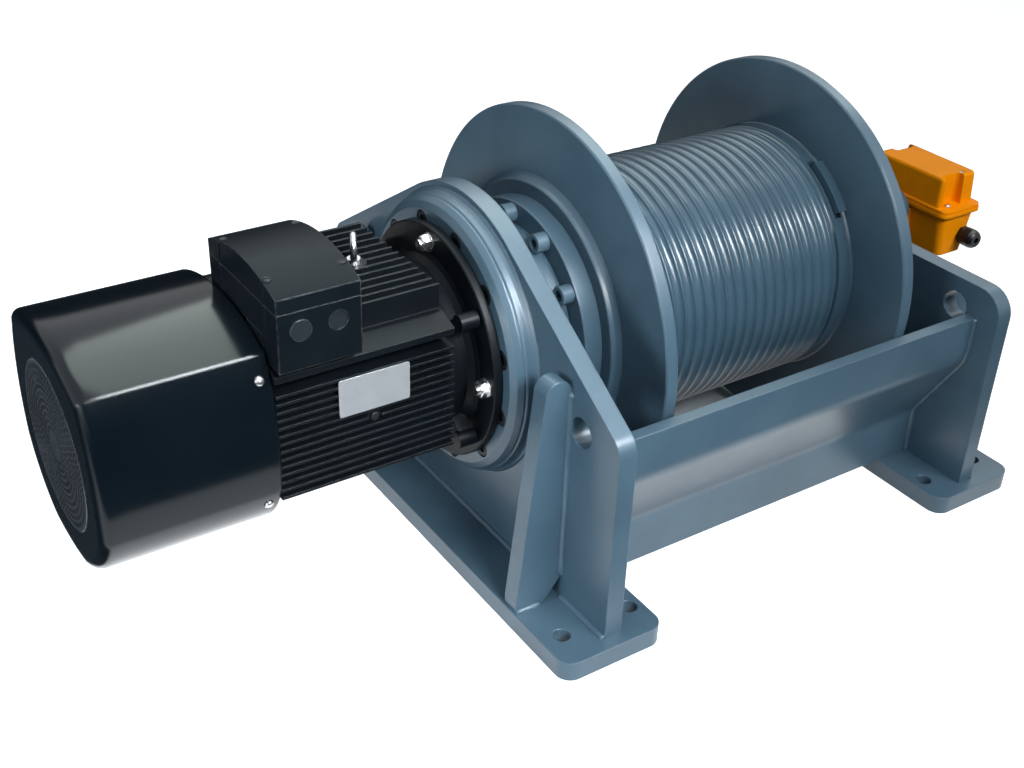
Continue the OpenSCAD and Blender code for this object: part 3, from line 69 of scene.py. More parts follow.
class Field:
    """A varying value of a material, on which sums are written as plain expressions."""

    def __init__(self, net: "Net", socket: bpy.types.NodeSocket) -> None:
        """Wraps one output socket.

        Args:
            net: The material that the socket belongs to.
            socket: The output socket that gives the value.
        """
        self.net = net
        self.socket = socket

    def _sum(self, operation: str, *terms: "Operand") -> "Field":
        """Adds one Math node.

        Args:
            operation: The Math node's operation.
            terms: Its inputs, fields or numbers.

        Returns:
            The node's value.
        """
        node = self.net.node("ShaderNodeMath", {"operation": operation},
                             dict(enumerate(terms)))
        return Field(self.net, node.outputs[0])

    def __add__(self, other: "Operand") -> "Field":
        """Sum of two values."""
        return self._sum("ADD", self, other)

    __radd__ = __add__

    def __sub__(self, other: "Operand") -> "Field":
        """Difference of two values."""
        return self._sum("SUBTRACT", self, other)

    def __rsub__(self, other: "Operand") -> "Field":
        """Difference with the number first."""
        return self._sum("SUBTRACT", other, self)

    def __mul__(self, other: "Operand") -> "Field":
        """Product of two values."""
        return self._sum("MULTIPLY", self, other)

    __rmul__ = __mul__

    def __truediv__(self, other: "Operand") -> "Field":
        """Quotient of two values."""
        return self._sum("DIVIDE", self, other)

    def __rtruediv__(self, other: "Operand") -> "Field":
        """Quotient with the number first."""
        return self._sum("DIVIDE", other, self)

    def __abs__(self) -> "Field":
        """Size of a value without its sign."""
        return self._sum("ABSOLUTE", self)

    def sine(self) -> "Field":
        """Sine of a value in radians."""
        return self._sum("SINE", self)

    def root(self) -> "Field":
        """Square root of a value."""
        return self._sum("SQRT", self)

    def larger(self, other: "Operand") -> "Field":
        """The larger of two values."""
        return self._sum("MAXIMUM", self, other)

    def ramp(self, low: float, high: float) -> "Field":
        """Rises from 0 at one value to 1 at another, without going past either.

        Args:
            low: The value that gives 0.
            high: The value that gives 1.

        Returns:
            The ramped value.
        """
        node = self.net.node("ShaderNodeMapRange",
                             {"interpolation_type": "SMOOTHSTEP", "clamp": True},
                             {"Value": self, "From Min": low, "From Max": high,
                              "To Min": 0.0, "To Max": 1.0})
        return Field(self.net, node.outputs[0])


Operand = Union[Field, float, int]


class Net:
    """The nodes of one material, or of the world."""

    def __init__(self, owner: bpy.types.Material | bpy.types.World) -> None:
        """Clears the nodes of a new material or world.

        Args:
            owner: The material or world.
        """
        self.owner = owner
        self.owner.use_nodes = True
        self.tree = self.owner.node_tree
        self.tree.nodes.clear()

    def node(self, kind: str, settings: dict[str, object] | None = None,
             inputs: dict[str | int, object] | None = None) -> bpy.types.Node:
        """Adds a node.

        Args:
            kind: The node's type.
            settings: Its own settings, which are set first.
            inputs: Values or links of its sockets, by name or by number.

        Returns:
            The new node.
        """
        made = self.tree.nodes.new(kind)
        for key, value in (settings or {}).items():
            setattr(made, key, value)
        for key, value in (inputs or {}).items():
            socket = made.inputs[key]
            if isinstance(value, Field):
                self.tree.links.new(value.socket, socket)
            elif isinstance(value, bpy.types.NodeSocket):
                self.tree.links.new(value, socket)
            elif isinstance(value, tuple) and len(value) == 3 and socket.type == "RGBA":
                socket.default_value = (*value, 1.0)
            else:
                socket.default_value = value
        return made

    def place(self) -> bpy.types.NodeSocket:
        """Place of a point in the winch's own frame, in metres."""
        return self.node("ShaderNodeTexCoord").outputs["Object"]

    def split(self, vector: bpy.types.NodeSocket) -> tuple[Field, Field, Field]:
        """The three parts of a vector."""
        made = self.node("ShaderNodeSeparateXYZ", {}, {0: vector})
        return tuple(Field(self, out) for out in made.outputs)

    def stretch(self, vector: bpy.types.NodeSocket, scale: Point) -> bpy.types.NodeSocket:
        """A vector with each part scaled.

        Args:
            vector: The vector to scale.
            scale: The three factors.

        Returns:
            The scaled vector.
        """
        made = self.node("ShaderNodeVectorMath", {"operation": "MULTIPLY"},
                         {0: vector, 1: scale})
        return made.outputs[0]

    def noise(self, vector: bpy.types.NodeSocket, size: float, detail: float = 2.0) -> Field:
        """Soft irregular pattern.

        Args:
            vector: Where the pattern is read.
            size: Rough size of its patches, in metres.
            detail: How many finer layers it has.

        Returns:
            The pattern, around 0.5.
        """
        made = self.node("ShaderNodeTexNoise", {},
                         {"Vector": vector, "Scale": 1.0 / size, "Detail": detail})
        return Field(self, made.outputs["Fac"])

    def cells(self, vector: bpy.types.NodeSocket, size: float) -> Field:
        """Pebbled pattern.

        Args:
            vector: Where the pattern is read.
            size: Rough size of a pebble, in metres.

        Returns:
            The distance from each pebble's middle.
        """
        made = self.node("ShaderNodeTexVoronoi", {}, {"Vector": vector, "Scale": 1.0 / size})
        return Field(self, made.outputs["Distance"])

    def mix(self, share: Operand, first: "Tint", second: "Tint") -> bpy.types.NodeSocket:
        """Mixes two colours.

        Args:
            share: How much of the second colour shows.
            first: The colour where share is 0.
            second: The colour where share is 1.

        Returns:
            The mixed colour.
        """
        made = self.node("ShaderNodeMix", {"data_type": "RGBA"},
                         {0: share, 6: first, 7: second})
        return made.outputs[2]

    def rounded(self, radius: float) -> bpy.types.NodeSocket:
        """Normal that rounds every edge by a radius in metres."""
        return self.node("ShaderNodeBevel", {"samples": 4}, {"Radius": radius}).outputs[0]

    def edges(self, soft: bpy.types.NodeSocket) -> Field:
        """How close a point lies to an edge.

        Args:
            soft: The rounded normal.

        Returns:
            0 on the flat and up to about 1 on a right-angled edge.
        """
        hard = self.node("ShaderNodeNewGeometry").outputs["Normal"]
        dot = self.node("ShaderNodeVectorMath", {"operation": "DOT_PRODUCT"},
                        {0: soft, 1: hard})
        return (1.0 - Field(self, dot.outputs["Value"])).ramp(0.01, 0.25)

    def bump(self, height: Field, depth: float,
             normal: bpy.types.NodeSocket | None) -> bpy.types.NodeSocket:
        """Bumped normal.

        Args:
            height: The pattern of heights.
            depth: The depth of the pattern, in metres.
            normal: The normal that the bumps lie on.

        Returns:
            The bumped normal.
        """
        inputs = {"Height": height, "Distance": depth, "Strength": 1.0}
        if normal is not None:
            inputs["Normal"] = normal
        return self.node("ShaderNodeBump", {}, inputs).outputs[0]

    def surface(self, inputs: dict[str | int, object]) -> bpy.types.Material:
        """Closes the material with its shader.

        Args:
            inputs: The shader's sockets and their values or links.

        Returns:
            The finished material.
        """
        return self.close(self.node("ShaderNodeBsdfPrincipled", {}, inputs))

    def close(self, shader: bpy.types.Node) -> bpy.types.Material:
        """Joins a shader to the material's output.

        Args:
            shader: The last shader node.

        Returns:
            The finished material.
        """
        self.node("ShaderNodeOutputMaterial", {}, {"Surface": shader.outputs[0]})
        return self.owner

    def background_seen(self) -> Field:
        """Tells rays that show the background from light that is bounced.

        Returns:
            1 for the camera, in reflections and through glass, and 0 elsewhere.
        """
        path = self.node("ShaderNodeLightPath")
        seen = Field(self, path.outputs["Is Camera Ray"])
        for other in ("Is Glossy Ray", "Is Transmission Ray"):
            seen = seen.larger(Field(self, path.outputs[other]))
        return seen


Tint = Union[Colour, bpy.types.NodeSocket]


class Grain(Enum):
    """Fine relief of a surface."""

    PEEL = "sprayed paint"
    CAST = "painted casting"
    BRUSHED = "metal drawn along its length"
    TURNED = "metal turned about the drum axis"
    MOULDED = "moulded plastic"
    WOUND = "bundled wire"

    def height(self, net: Net, place: bpy.types.NodeSocket) -> Field:
        """The relief as a pattern of heights.

        Args:
            net: The material that it goes into.
            place: Place of a point in the winch's frame.

        Returns:
            The heights, about 0 to 1.
        """
        if self is Grain.PEEL:
            return net.noise(place, 0.0035, 1.0) * 0.6 + net.noise(place, 0.02, 1.0) * 0.9
        if self is Grain.CAST:
            return net.noise(place, 0.0014, 3.0) * 0.6 + net.noise(place, 0.012, 2.0) * 0.6
        if self is Grain.BRUSHED:
            return net.noise(net.stretch(place, (1.0, 14.0, 14.0)), 0.012, 3.0)
        if self is Grain.MOULDED:
            return net.cells(place, 0.0009)
        x, y, z = net.split(place)
        high = z - AXIS_HEIGHT
        radius = (y * y + high * high).root()
        if self is Grain.TURNED:
            line = net.node("ShaderNodeCombineXYZ", {}, {0: x, 1: radius}).outputs[0]
            return net.noise(line, 0.0007, 2.0)
        return ((radius + x * 0.4) * 3000.0).sine() * 0.5 + net.noise(place, 0.004, 2.0)


@dataclass(frozen=True)
class Finish:
    """One finish: colour, gloss, relief and a painted edge highlight, with sizes in metres."""

    name: str
    colour: Colour
    shade: Colour
    roughness: float
    grain: Grain
    depth: float
    metallic: float = 0.0
    coat: float = 0.0
    specular: float = 0.5
    patch: float = 0.08
    spread: float = 0.08
    edge_radius: float = 0.0012
    # Colour and share of a painted edge highlight.
    edge_highlight_colour: Colour = (0.3, 0.3, 0.3)
    edge_highlight_share: float = 0.0
    waves: float = 0.0
    wave_size: float = 0.09

    def build(self) -> bpy.types.Material:
        """Makes the material.

        Returns:
            The material with its nodes.
        """
        net = Net(bpy.data.materials.new(self.name))
        place = net.place()
        patches = net.noise(place, self.patch, 4.0)
        colour = net.mix(patches.ramp(0.35, 0.68), self.colour, self.shade)
        soft = net.rounded(self.edge_radius) if self.edge_radius > 0 else None
        # Painted edge highlight: edges are mixed toward a lighter colour, in patches.
        if soft is not None and self.edge_highlight_share > 0:
            painted_edge_highlight = net.edges(soft) * net.noise(place, 0.008, 3.0).ramp(0.3, 0.6)
            colour = net.mix(painted_edge_highlight * self.edge_highlight_share, colour, self.edge_highlight_colour)
        smear = net.noise(net.stretch(place, (1.0, 1.6, 0.7)), self.patch * 0.45, 3.0)
        rough = (smear - 0.5) * self.spread + self.roughness
        normal = net.bump(self.grain.height(net, place), self.depth, soft)
        if self.waves > 0:
            normal = net.bump(net.noise(net.stretch(place, (0.45, 1.0, 1.0)),
                                        self.wave_size, 1.0), self.waves, normal)
        return net.surface({"Base Color": colour, "Roughness": rough,
                            "Metallic": self.metallic, "Coat Weight": self.coat,
                            "Coat Roughness": 0.12, "Specular IOR Level": self.specular,
                            "Normal": normal})


# Finishes that set an edge colour and share get lighter edges in patches: a painted edge
# highlight.
MACHINE_PAINT = Finish("machine paint", (0.055, 0.105, 0.149), (0.046, 0.090, 0.130), 0.34,
                       Grain.PEEL, 0.00006, specular=0.50, edge_radius=0.0022,
                       edge_highlight_colour=(0.14, 0.21, 0.27), edge_highlight_share=0.4)
DRUM_PAINT = Finish("drum paint", (0.043, 0.085, 0.123), (0.036, 0.073, 0.107), 0.23,
                    Grain.PEEL, 0.00006, specular=0.34, edge_radius=0.0)
BLACK_ENAMEL = Finish("black enamel", (0.0030, 0.0052, 0.0075), (0.0022, 0.0038, 0.0055), 0.42,
                      Grain.CAST, 0.00010, specular=0.11, edge_radius=0.0012,
                      edge_highlight_colour=(0.035, 0.038, 0.042), edge_highlight_share=0.5)
BOX_ENAMEL = Finish("box enamel", (0.0040, 0.0070, 0.0100), (0.0030, 0.0054, 0.0080), 0.40,
                    Grain.CAST, 0.00006, specular=0.06, edge_radius=0.0026,
                    edge_highlight_colour=(0.11, 0.12, 0.13), edge_highlight_share=0.7)
COWL_LACQUER = Finish("cowl lacquer", (0.0022, 0.0050, 0.0080), (0.0018, 0.0042, 0.0068), 0.15,
                      Grain.PEEL, 0.00002, specular=0.26, edge_radius=0.005,
                      waves=0.00035, spread=0.05)
PLUG_BLACK = Finish("plug black", (0.016, 0.021, 0.027), (0.011, 0.015, 0.020), 0.30,
                    Grain.PEEL, 0.00002, specular=0.30, edge_radius=0.0016,
                    edge_highlight_colour=(0.10, 0.12, 0.14), edge_highlight_share=0.9)
GRILLE_BLACK = Finish("grille black", (0.036, 0.044, 0.052), (0.027, 0.033, 0.040), 0.34,
                      Grain.PEEL, 0.00002, specular=0.25, edge_radius=0.0)
PAINTED_SCREW = Finish("painted screw", (0.085, 0.145, 0.195), (0.060, 0.108, 0.152), 0.30,
                       Grain.PEEL, 0.00004, specular=0.4, edge_radius=0.0008,
                       edge_highlight_colour=(0.20, 0.27, 0.32), edge_highlight_share=0.5)
DARK_SCREW = Finish("dark screw", (0.010, 0.012, 0.014), (0.007, 0.008, 0.010), 0.45,
                    Grain.PEEL, 0.00003, specular=0.20, patch=0.01, edge_radius=0.0006,
                    edge_highlight_colour=(0.05, 0.055, 0.06), edge_highlight_share=0.5)
ZINC = Finish("zinc plate", (0.60, 0.61, 0.62), (0.48, 0.49, 0.50), 0.26, Grain.BRUSHED,
              0.00003, metallic=1.0, patch=0.01, edge_radius=0.0006)
STEEL = Finish("machined steel", (0.42, 0.42, 0.43), (0.34, 0.34, 0.35), 0.30, Grain.TURNED,
               0.00002, metallic=1.0, patch=0.03, edge_radius=0.0008)
PLATE_METAL = Finish("blank plate", (0.34, 0.365, 0.39), (0.31, 0.335, 0.36), 0.46,
                     Grain.BRUSHED, 0.00001, metallic=0.55, patch=0.03, edge_radius=0.0004)
COPPER = Finish("wound copper", (0.48, 0.20, 0.08), (0.36, 0.13, 0.05), 0.34, Grain.WOUND,
                0.0004, metallic=0.85, coat=0.5, patch=0.02, edge_radius=0.0)
BLACK_PLASTIC = Finish("black plastic", (0.006, 0.006, 0.007), (0.008, 0.008, 0.009), 0.34,
                       Grain.MOULDED, 0.00004, specular=0.35, patch=0.02,
                       edge_radius=0.0008)
BROWN_PLASTIC = Finish("brown moulding", (0.07, 0.02, 0.01), (0.05, 0.015, 0.008), 0.28,
                       Grain.MOULDED, 0.00003, patch=0.02, edge_radius=0.0008)
ORANGE_COAT = Finish("orange coat", (0.84, 0.275, 0.0012), (0.78, 0.252, 0.0010), 0.42,
                     Grain.PEEL, 0.00005, specular=0.04, patch=0.04, edge_radius=0.0035)


class Shop:
    """Makes each finish once and hands it out."""

    def __init__(self) -> None:
        """Starts with no material made."""
        self._made: dict[str, bpy.types.Material] = {}

    def get(self, finish: Finish) -> bpy.types.Material:
        """Hands out the material of a finish, and makes it the first time.

        Args:
            finish: The finish.

        Returns:
            Its material.
        """
        if finish.name not in self._made:
            self._made[finish.name] = finish.build()
        return self._made[finish.name]


@dataclass
class SubAssembly:
    """Part of the winch that dresses its own nodes and adds its own pieces."""

    nodes: dict[str, bpy.types.Object]
    shop: Shop

    def dress(self, names: Iterable[str], finish: Finish) -> None:
        """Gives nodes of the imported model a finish.

        Args:
            names: The nodes' names.
            finish: The finish that they get.
        """
        material = self.shop.get(finish)
        for name in names:
            thing = self.nodes[name]
            if not thing.material_slots:
                thing.data.materials.append(material)
            for slot in thing.material_slots:
                slot.material = material
            LOG.info("dressed %s with %s", name, finish.name)

    def piece(self, name: str, points: Sequence[Point], faces: Sequence[Sequence[int]],
              finish: Finish, body: str, slot: str, sharp: float = 40.0
              ) -> bpy.types.Object:
        """Adds a piece with its own mesh.

        Args:
            name: The piece's name.
            points: Its points, in metres.
            faces: Its faces, as numbers of points.
            finish: Its finish.
            body: The body that it moves with.
            slot: Not used.
            sharp: Edges steeper than this angle stay sharp.

        Returns:
            The new object.
        """
        mesh = bpy.data.meshes.new(name)
        mesh.from_pydata([tuple(p) for p in points], [], [tuple(f) for f in faces])
        mesh.validate()
        mesh.polygons.foreach_set("use_smooth", [True] * len(mesh.polygons))
        mesh.set_sharp_from_angle(angle=math.radians(sharp))
        mesh.materials.append(self.shop.get(finish))
        thing = bpy.data.objects.new(name, mesh)
        bpy.context.scene.collection.objects.link(thing)
        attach(thing, body)
        LOG.info("made %s: %d points, %d faces", name, len(points), len(faces))
        return thing


class Mesh:
    """Points and faces that are gathered before they become one piece."""

    def __init__(self) -> None:
        """Starts empty."""
        self.points: list[Point] = []
        self.faces: list[tuple[int, ...]] = []

    def ring_grid(self, rings: Sequence[Sequence[Point]], capped: bool = False) -> None:
        """Joins closed rings of points with faces.

        Args:
            rings: The rings, each with the same number of points.
            capped: Whether the first and last ring are filled.
        """
        start = len(self.points)
        count = len(rings[0])
        for ring in rings:
            self.points.extend(tuple(p) for p in ring)
        for i in range(len(rings) - 1):
            for j in range(count):
                a = start + i * count + j
                b = start + i * count + (j + 1) % count
                self.faces.append((a, b, b + count, a + count))
        if capped:
            self.faces.append(tuple(range(start + count - 1, start - 1, -1)))
            top = start + (len(rings) - 1) * count
            self.faces.append(tuple(range(top, top + count)))

    def bead(self, path: Sequence[Vector], radius: float, closed: bool = False) -> None:
        """Adds a weld bead along a line, with the fine ripples of its runs.

        Args:
            path: The corner points of the line.
            radius: Radius of the bead, in metres.
            closed: Whether the line returns to its first point.
        """
        corners = list(path) + ([path[0]] if closed else [])
        points: list[Vector] = []
        for a, b in zip(corners, corners[1:]):
            parts = max(1, round((b - a).length / (BEAD_STEP / 2)))
            points.extend(a.lerp(b, k / parts) for k in range(parts))
        if not closed:
            points.append(corners[-1])
        rings = []
        total = len(points)
        turns = [math.tau * j / BEAD_SIDES for j in range(BEAD_SIDES)]
        side = None
        for k, point in enumerate(points):
            before = points[(k - 1) % total] if closed or k else points[0]
            after = points[(k + 1) % total] if closed or k < total - 1 else points[-1]
            along = (after - before).normalized()
            if side is None:
                side = along.orthogonal().normalized()
            else:
                side = (side - along * side.dot(along)).normalized()
            other = along.cross(side)
            swell = (1.0 + BEAD_RIPPLE * (1 if k % 2 else -1)
                     + BEAD_DRIFT * math.sin(k * BEAD_DRIFT_RATE))
            if not closed and k in (0, total - 1):
                swell *= BEAD_END
            rings.append([point + (side * math.cos(t) + other * math.sin(t)) * radius * swell
                          for t in turns])
        if closed:
            rings.append(rings[0])
        self.ring_grid(rings, capped=not closed)

    def box(self, low: Point, high: Point, turn: Matrix | None = None) -> None:
        """Adds a block between two corners.

        Args:
            low: Its lowest corner.
            high: Its highest corner.
            turn: Turns the block where it is given.
        """
        start = len(self.points)
        corners = [Vector((x, y, z)) for x in (low[0], high[0]) for y in (low[1], high[1])
                   for z in (low[2], high[2])]
        self.points.extend(tuple(turn @ c if turn else c) for c in corners)
        for face in ((0, 1, 3, 2), (4, 6, 7, 5), (0, 4, 5, 1), (2, 3, 7, 6), (0, 2, 6, 4),
                     (1, 5, 7, 3)):
            self.faces.append(tuple(start + i for i in face))


def about(x: float, radius: float, angle: float) -> Vector:
    """A point about the drum axis.

    Args:
        x: Place along the axis, in metres.
        radius: Distance from the axis.
        angle: Angle in radians, from +Y towards +Z.

    Returns:
        The point.
    """
    return Vector((x, radius * math.cos(angle), AXIS_HEIGHT + radius * math.sin(angle)))


def circle(x: float, radius: float, count: int) -> list[Vector]:
    """Points of a circle about the drum axis."""
    return [about(x, radius, math.tau * k / count) for k in range(count)]


@dataclass
class WeldedFrame(SubAssembly):
    """Side plates, feet, ribs and cross members, with the weld beads between them."""

    plate_in: float = 0.296
    plate_out: float = 0.320
    foot_top: float = 0.026
    half: float = 0.335
    bead_r: float = 0.0048
    bead_gap: float = 0.001
    rib_inner: float = 0.218
    rib_outer: float = 0.242
    rib_low: float = 0.060
    rib_top: float = 0.318
    rib_top_right: float = 0.267
    rib_foot_near: float = 0.029
    rib_foot_far: float = 0.063
    member_t: float = 0.016
    member_low: float = 0.235
    member_high: float = 0.301
    member_top: float = 0.272
    member_bend_low: float = 0.088
    member_bend_high: float = 0.222
    member_bend_r: float = 0.044
    member_bead_share: float = 0.9
    bend_parts: int = 5

    def build(self) -> None:
        """Dresses the frame and adds its beads."""
        self.dress(("side_plate_left", "side_plate_right", "foot_left", "foot_right",
                    "gussets", "crossmember_front", "crossmember_rear", "bearing_housing",
                    "switch_bracket"), MACHINE_PAINT)
        self.dress(("bearing_bolts",), ZINC)
        self.dress(("drum_bearings",), STEEL)
        mesh = Mesh()
        for side in (-1, 1):
            self._foot_beads(mesh, side)
            for way in (-1, 1):
                self._rib_beads(mesh, side, way)
                self._member_bead(mesh, side, way)
        self.piece("frame_welds", mesh.points, mesh.faces, MACHINE_PAINT, "frame",
                   "grey_paint", sharp=70)

    def _foot_beads(self, mesh: Mesh, side: int) -> None:
        """Adds the beads along both faces of a side plate on its foot.

        Args:
            mesh: The mesh that they go into.
            side: -1 for the left plate, 1 for the right one.
        """
        near, far, gap = self.rib_inner, self.rib_outer, self.bead_gap
        runs = [(self.plate_in, -near, near)]
        runs += [(self.plate_out, low, high) for low, high in (
            (-self.half, -far - gap), (gap - near, near - gap), (far + gap, self.half))]
        for x, low, high in runs:
            mesh.bead([Vector((side * x, low, self.foot_top)),
                       Vector((side * x, high, self.foot_top))], self.bead_r)

    def _rib_beads(self, mesh: Mesh, side: int, way: int) -> None:
        """Adds the beads of one rib on its side plate and on its foot.

        Args:
            mesh: The mesh that they go into.
            side: -1 for the left plate, 1 for the right one.
            way: -1 for the front rib, 1 for the rear one.
        """
        top = self.rib_top if side < 0 else self.rib_top_right
        out = side * self.plate_out
        for y in (way * self.rib_inner, way * self.rib_outer):
            mesh.bead([Vector((out, y, self.rib_low)), Vector((out, y, top))], self.bead_r)
            mesh.bead([Vector((out + side * self.rib_foot_near, y, self.foot_top)),
                       Vector((out + side * self.rib_foot_far, y, self.foot_top))],
                      self.bead_r)

    def _member_bead(self, mesh: Mesh, side: int, way: int) -> None:
        """Adds the bead along a cross member's outer face where it meets a side plate.

        Args:
            mesh: The mesh that it goes into.
            side: -1 for the left plate, 1 for the right one.
            way: -1 for the front member, 1 for the rear one.
        """
        inner = self.member_bend_r - self.member_t
        both = self.member_bend_r + inner
        out = self.member_high - self.member_low
        rise = self.member_bend_high - self.member_bend_low
        lean = (math.asin(both / math.hypot(rise, both - out))
                - math.atan2(both - out, rise))
        parts = self.bend_parts
        line = [(self.member_low, self.foot_top)]
        for k in range(parts + 1):
            turn = math.pi - lean * k / parts
            line.append((self.member_low + inner + inner * math.cos(turn),
                         self.member_bend_low + inner * math.sin(turn)))
        for k in range(parts + 1):
            turn = -lean + lean * k / parts
            line.append((self.member_high + self.member_bend_r * (math.cos(turn) - 1),
                         self.member_bend_high + self.member_bend_r * math.sin(turn)))
        line.append((self.member_high, self.member_top))
        x = side * (self.plate_in - self.bead_gap)
        mesh.bead([Vector((x, way * y, z)) for y, z in line],
                  self.bead_r * self.member_bead_share)


@dataclass
class RopeDrum(SubAssembly):
    """Grooved barrel with its flanges, collar and rope pocket."""

    ridge_r: float = 0.173
    depth: float = 0.0045
    pitch: float = 0.0168
    start: float = -0.182
    end: float = 0.189
    band: float = 0.166
    inner_r: float = 0.1525
    crest: float = 0.0012
    run_out: float = 0.004
    pocket_x: tuple[float, float] = (0.1735, 0.1885)
    pocket_angles: tuple[float, float] = (35.0, 63.0)
    pocket_depth: float = 0.009
    seam_r: float = 0.172
    seam_bead_r: float = 0.004
    seam_parts: int = 160
    turns: int = 288
    steps: int = 424

    def build(self) -> None:
        """Dresses the drum and winds its groove."""
        self.dress(("drum_flange_left", "drum_flange_right", "stiffener_disc",
                    "gear_housing"), MACHINE_PAINT)
        self.dress(("housing_screws",), PAINTED_SCREW)
        self.dress(("end_shaft", "ring_gear"), STEEL)
        self.dress(("rope_wedge",), DRUM_PAINT)
        mesh = Mesh()
        rings = [circle(self.start, self.inner_r, self.turns)]
        angles = [math.tau * k / self.turns for k in range(self.turns)]
        for i in range(self.steps + 1):
            x = self.start + (self.end - self.start) * i / self.steps
            rings.append([about(x, self._radius(x, a), a) for a in angles])
        rings.append(circle(self.end, self.inner_r, self.turns))
        rings.append(rings[0])
        mesh.ring_grid(rings)
        barrel = self.piece("barrel_grooves", mesh.points, mesh.faces, DRUM_PAINT, "drum",
                            "grey_paint", sharp=60)
        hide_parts("drum_barrel")
        seams = Mesh()
        for x in (self.start, self.end):
            seams.bead(circle(x, self.seam_r, self.seam_parts), self.seam_bead_r,
                       closed=True)
        self.piece("drum_welds", seams.points, seams.faces, DRUM_PAINT, "drum",
                   "grey_paint", sharp=70)

    def _radius(self, x: float, angle: float) -> float:
        """Radius of the barrel's surface.

        Args:
            x: Place along the axis.
            angle: Angle from +Y towards +Z.

        Returns:
            The radius, in metres.
        """
        front = 180.0 - math.degrees(angle)
        near, far = self.pocket_x
        low, high = self.pocket_angles
        if near < x < far and low < front < high:
            return self.ridge_r - self.pocket_depth
        along = x - self.start - self.run_out + self.pitch * front / 360.0
        if along < 0 or x > self.band + self.run_out * math.sin(angle):
            return self.ridge_r
        half = self.pitch / 2
        across = (along % self.pitch) - half
        reach = half - self.crest
        if abs(across) > reach:
            return self.ridge_r
        bow = (reach ** 2 + self.depth ** 2) / (2 * self.depth)
        return self.ridge_r - self.depth + bow - math.sqrt(bow ** 2 - across ** 2)


@dataclass
class Gearing(SubAssembly):
    """Everything between the left plate and the drum, and the gears inside."""

    def build(self) -> None:
        """Dresses the gearbox."""
        self.dress(("mounting_ring", "gearbox_spindle"), MACHINE_PAINT)
        self.dress(("flange_screws",), DARK_SCREW)
        self.dress(("sun_shaft", "first_carrier", "first_planet_a", "first_planet_b",
                    "first_planet_c", "output_planet_a", "output_planet_b",
                    "output_planet_c"), STEEL)


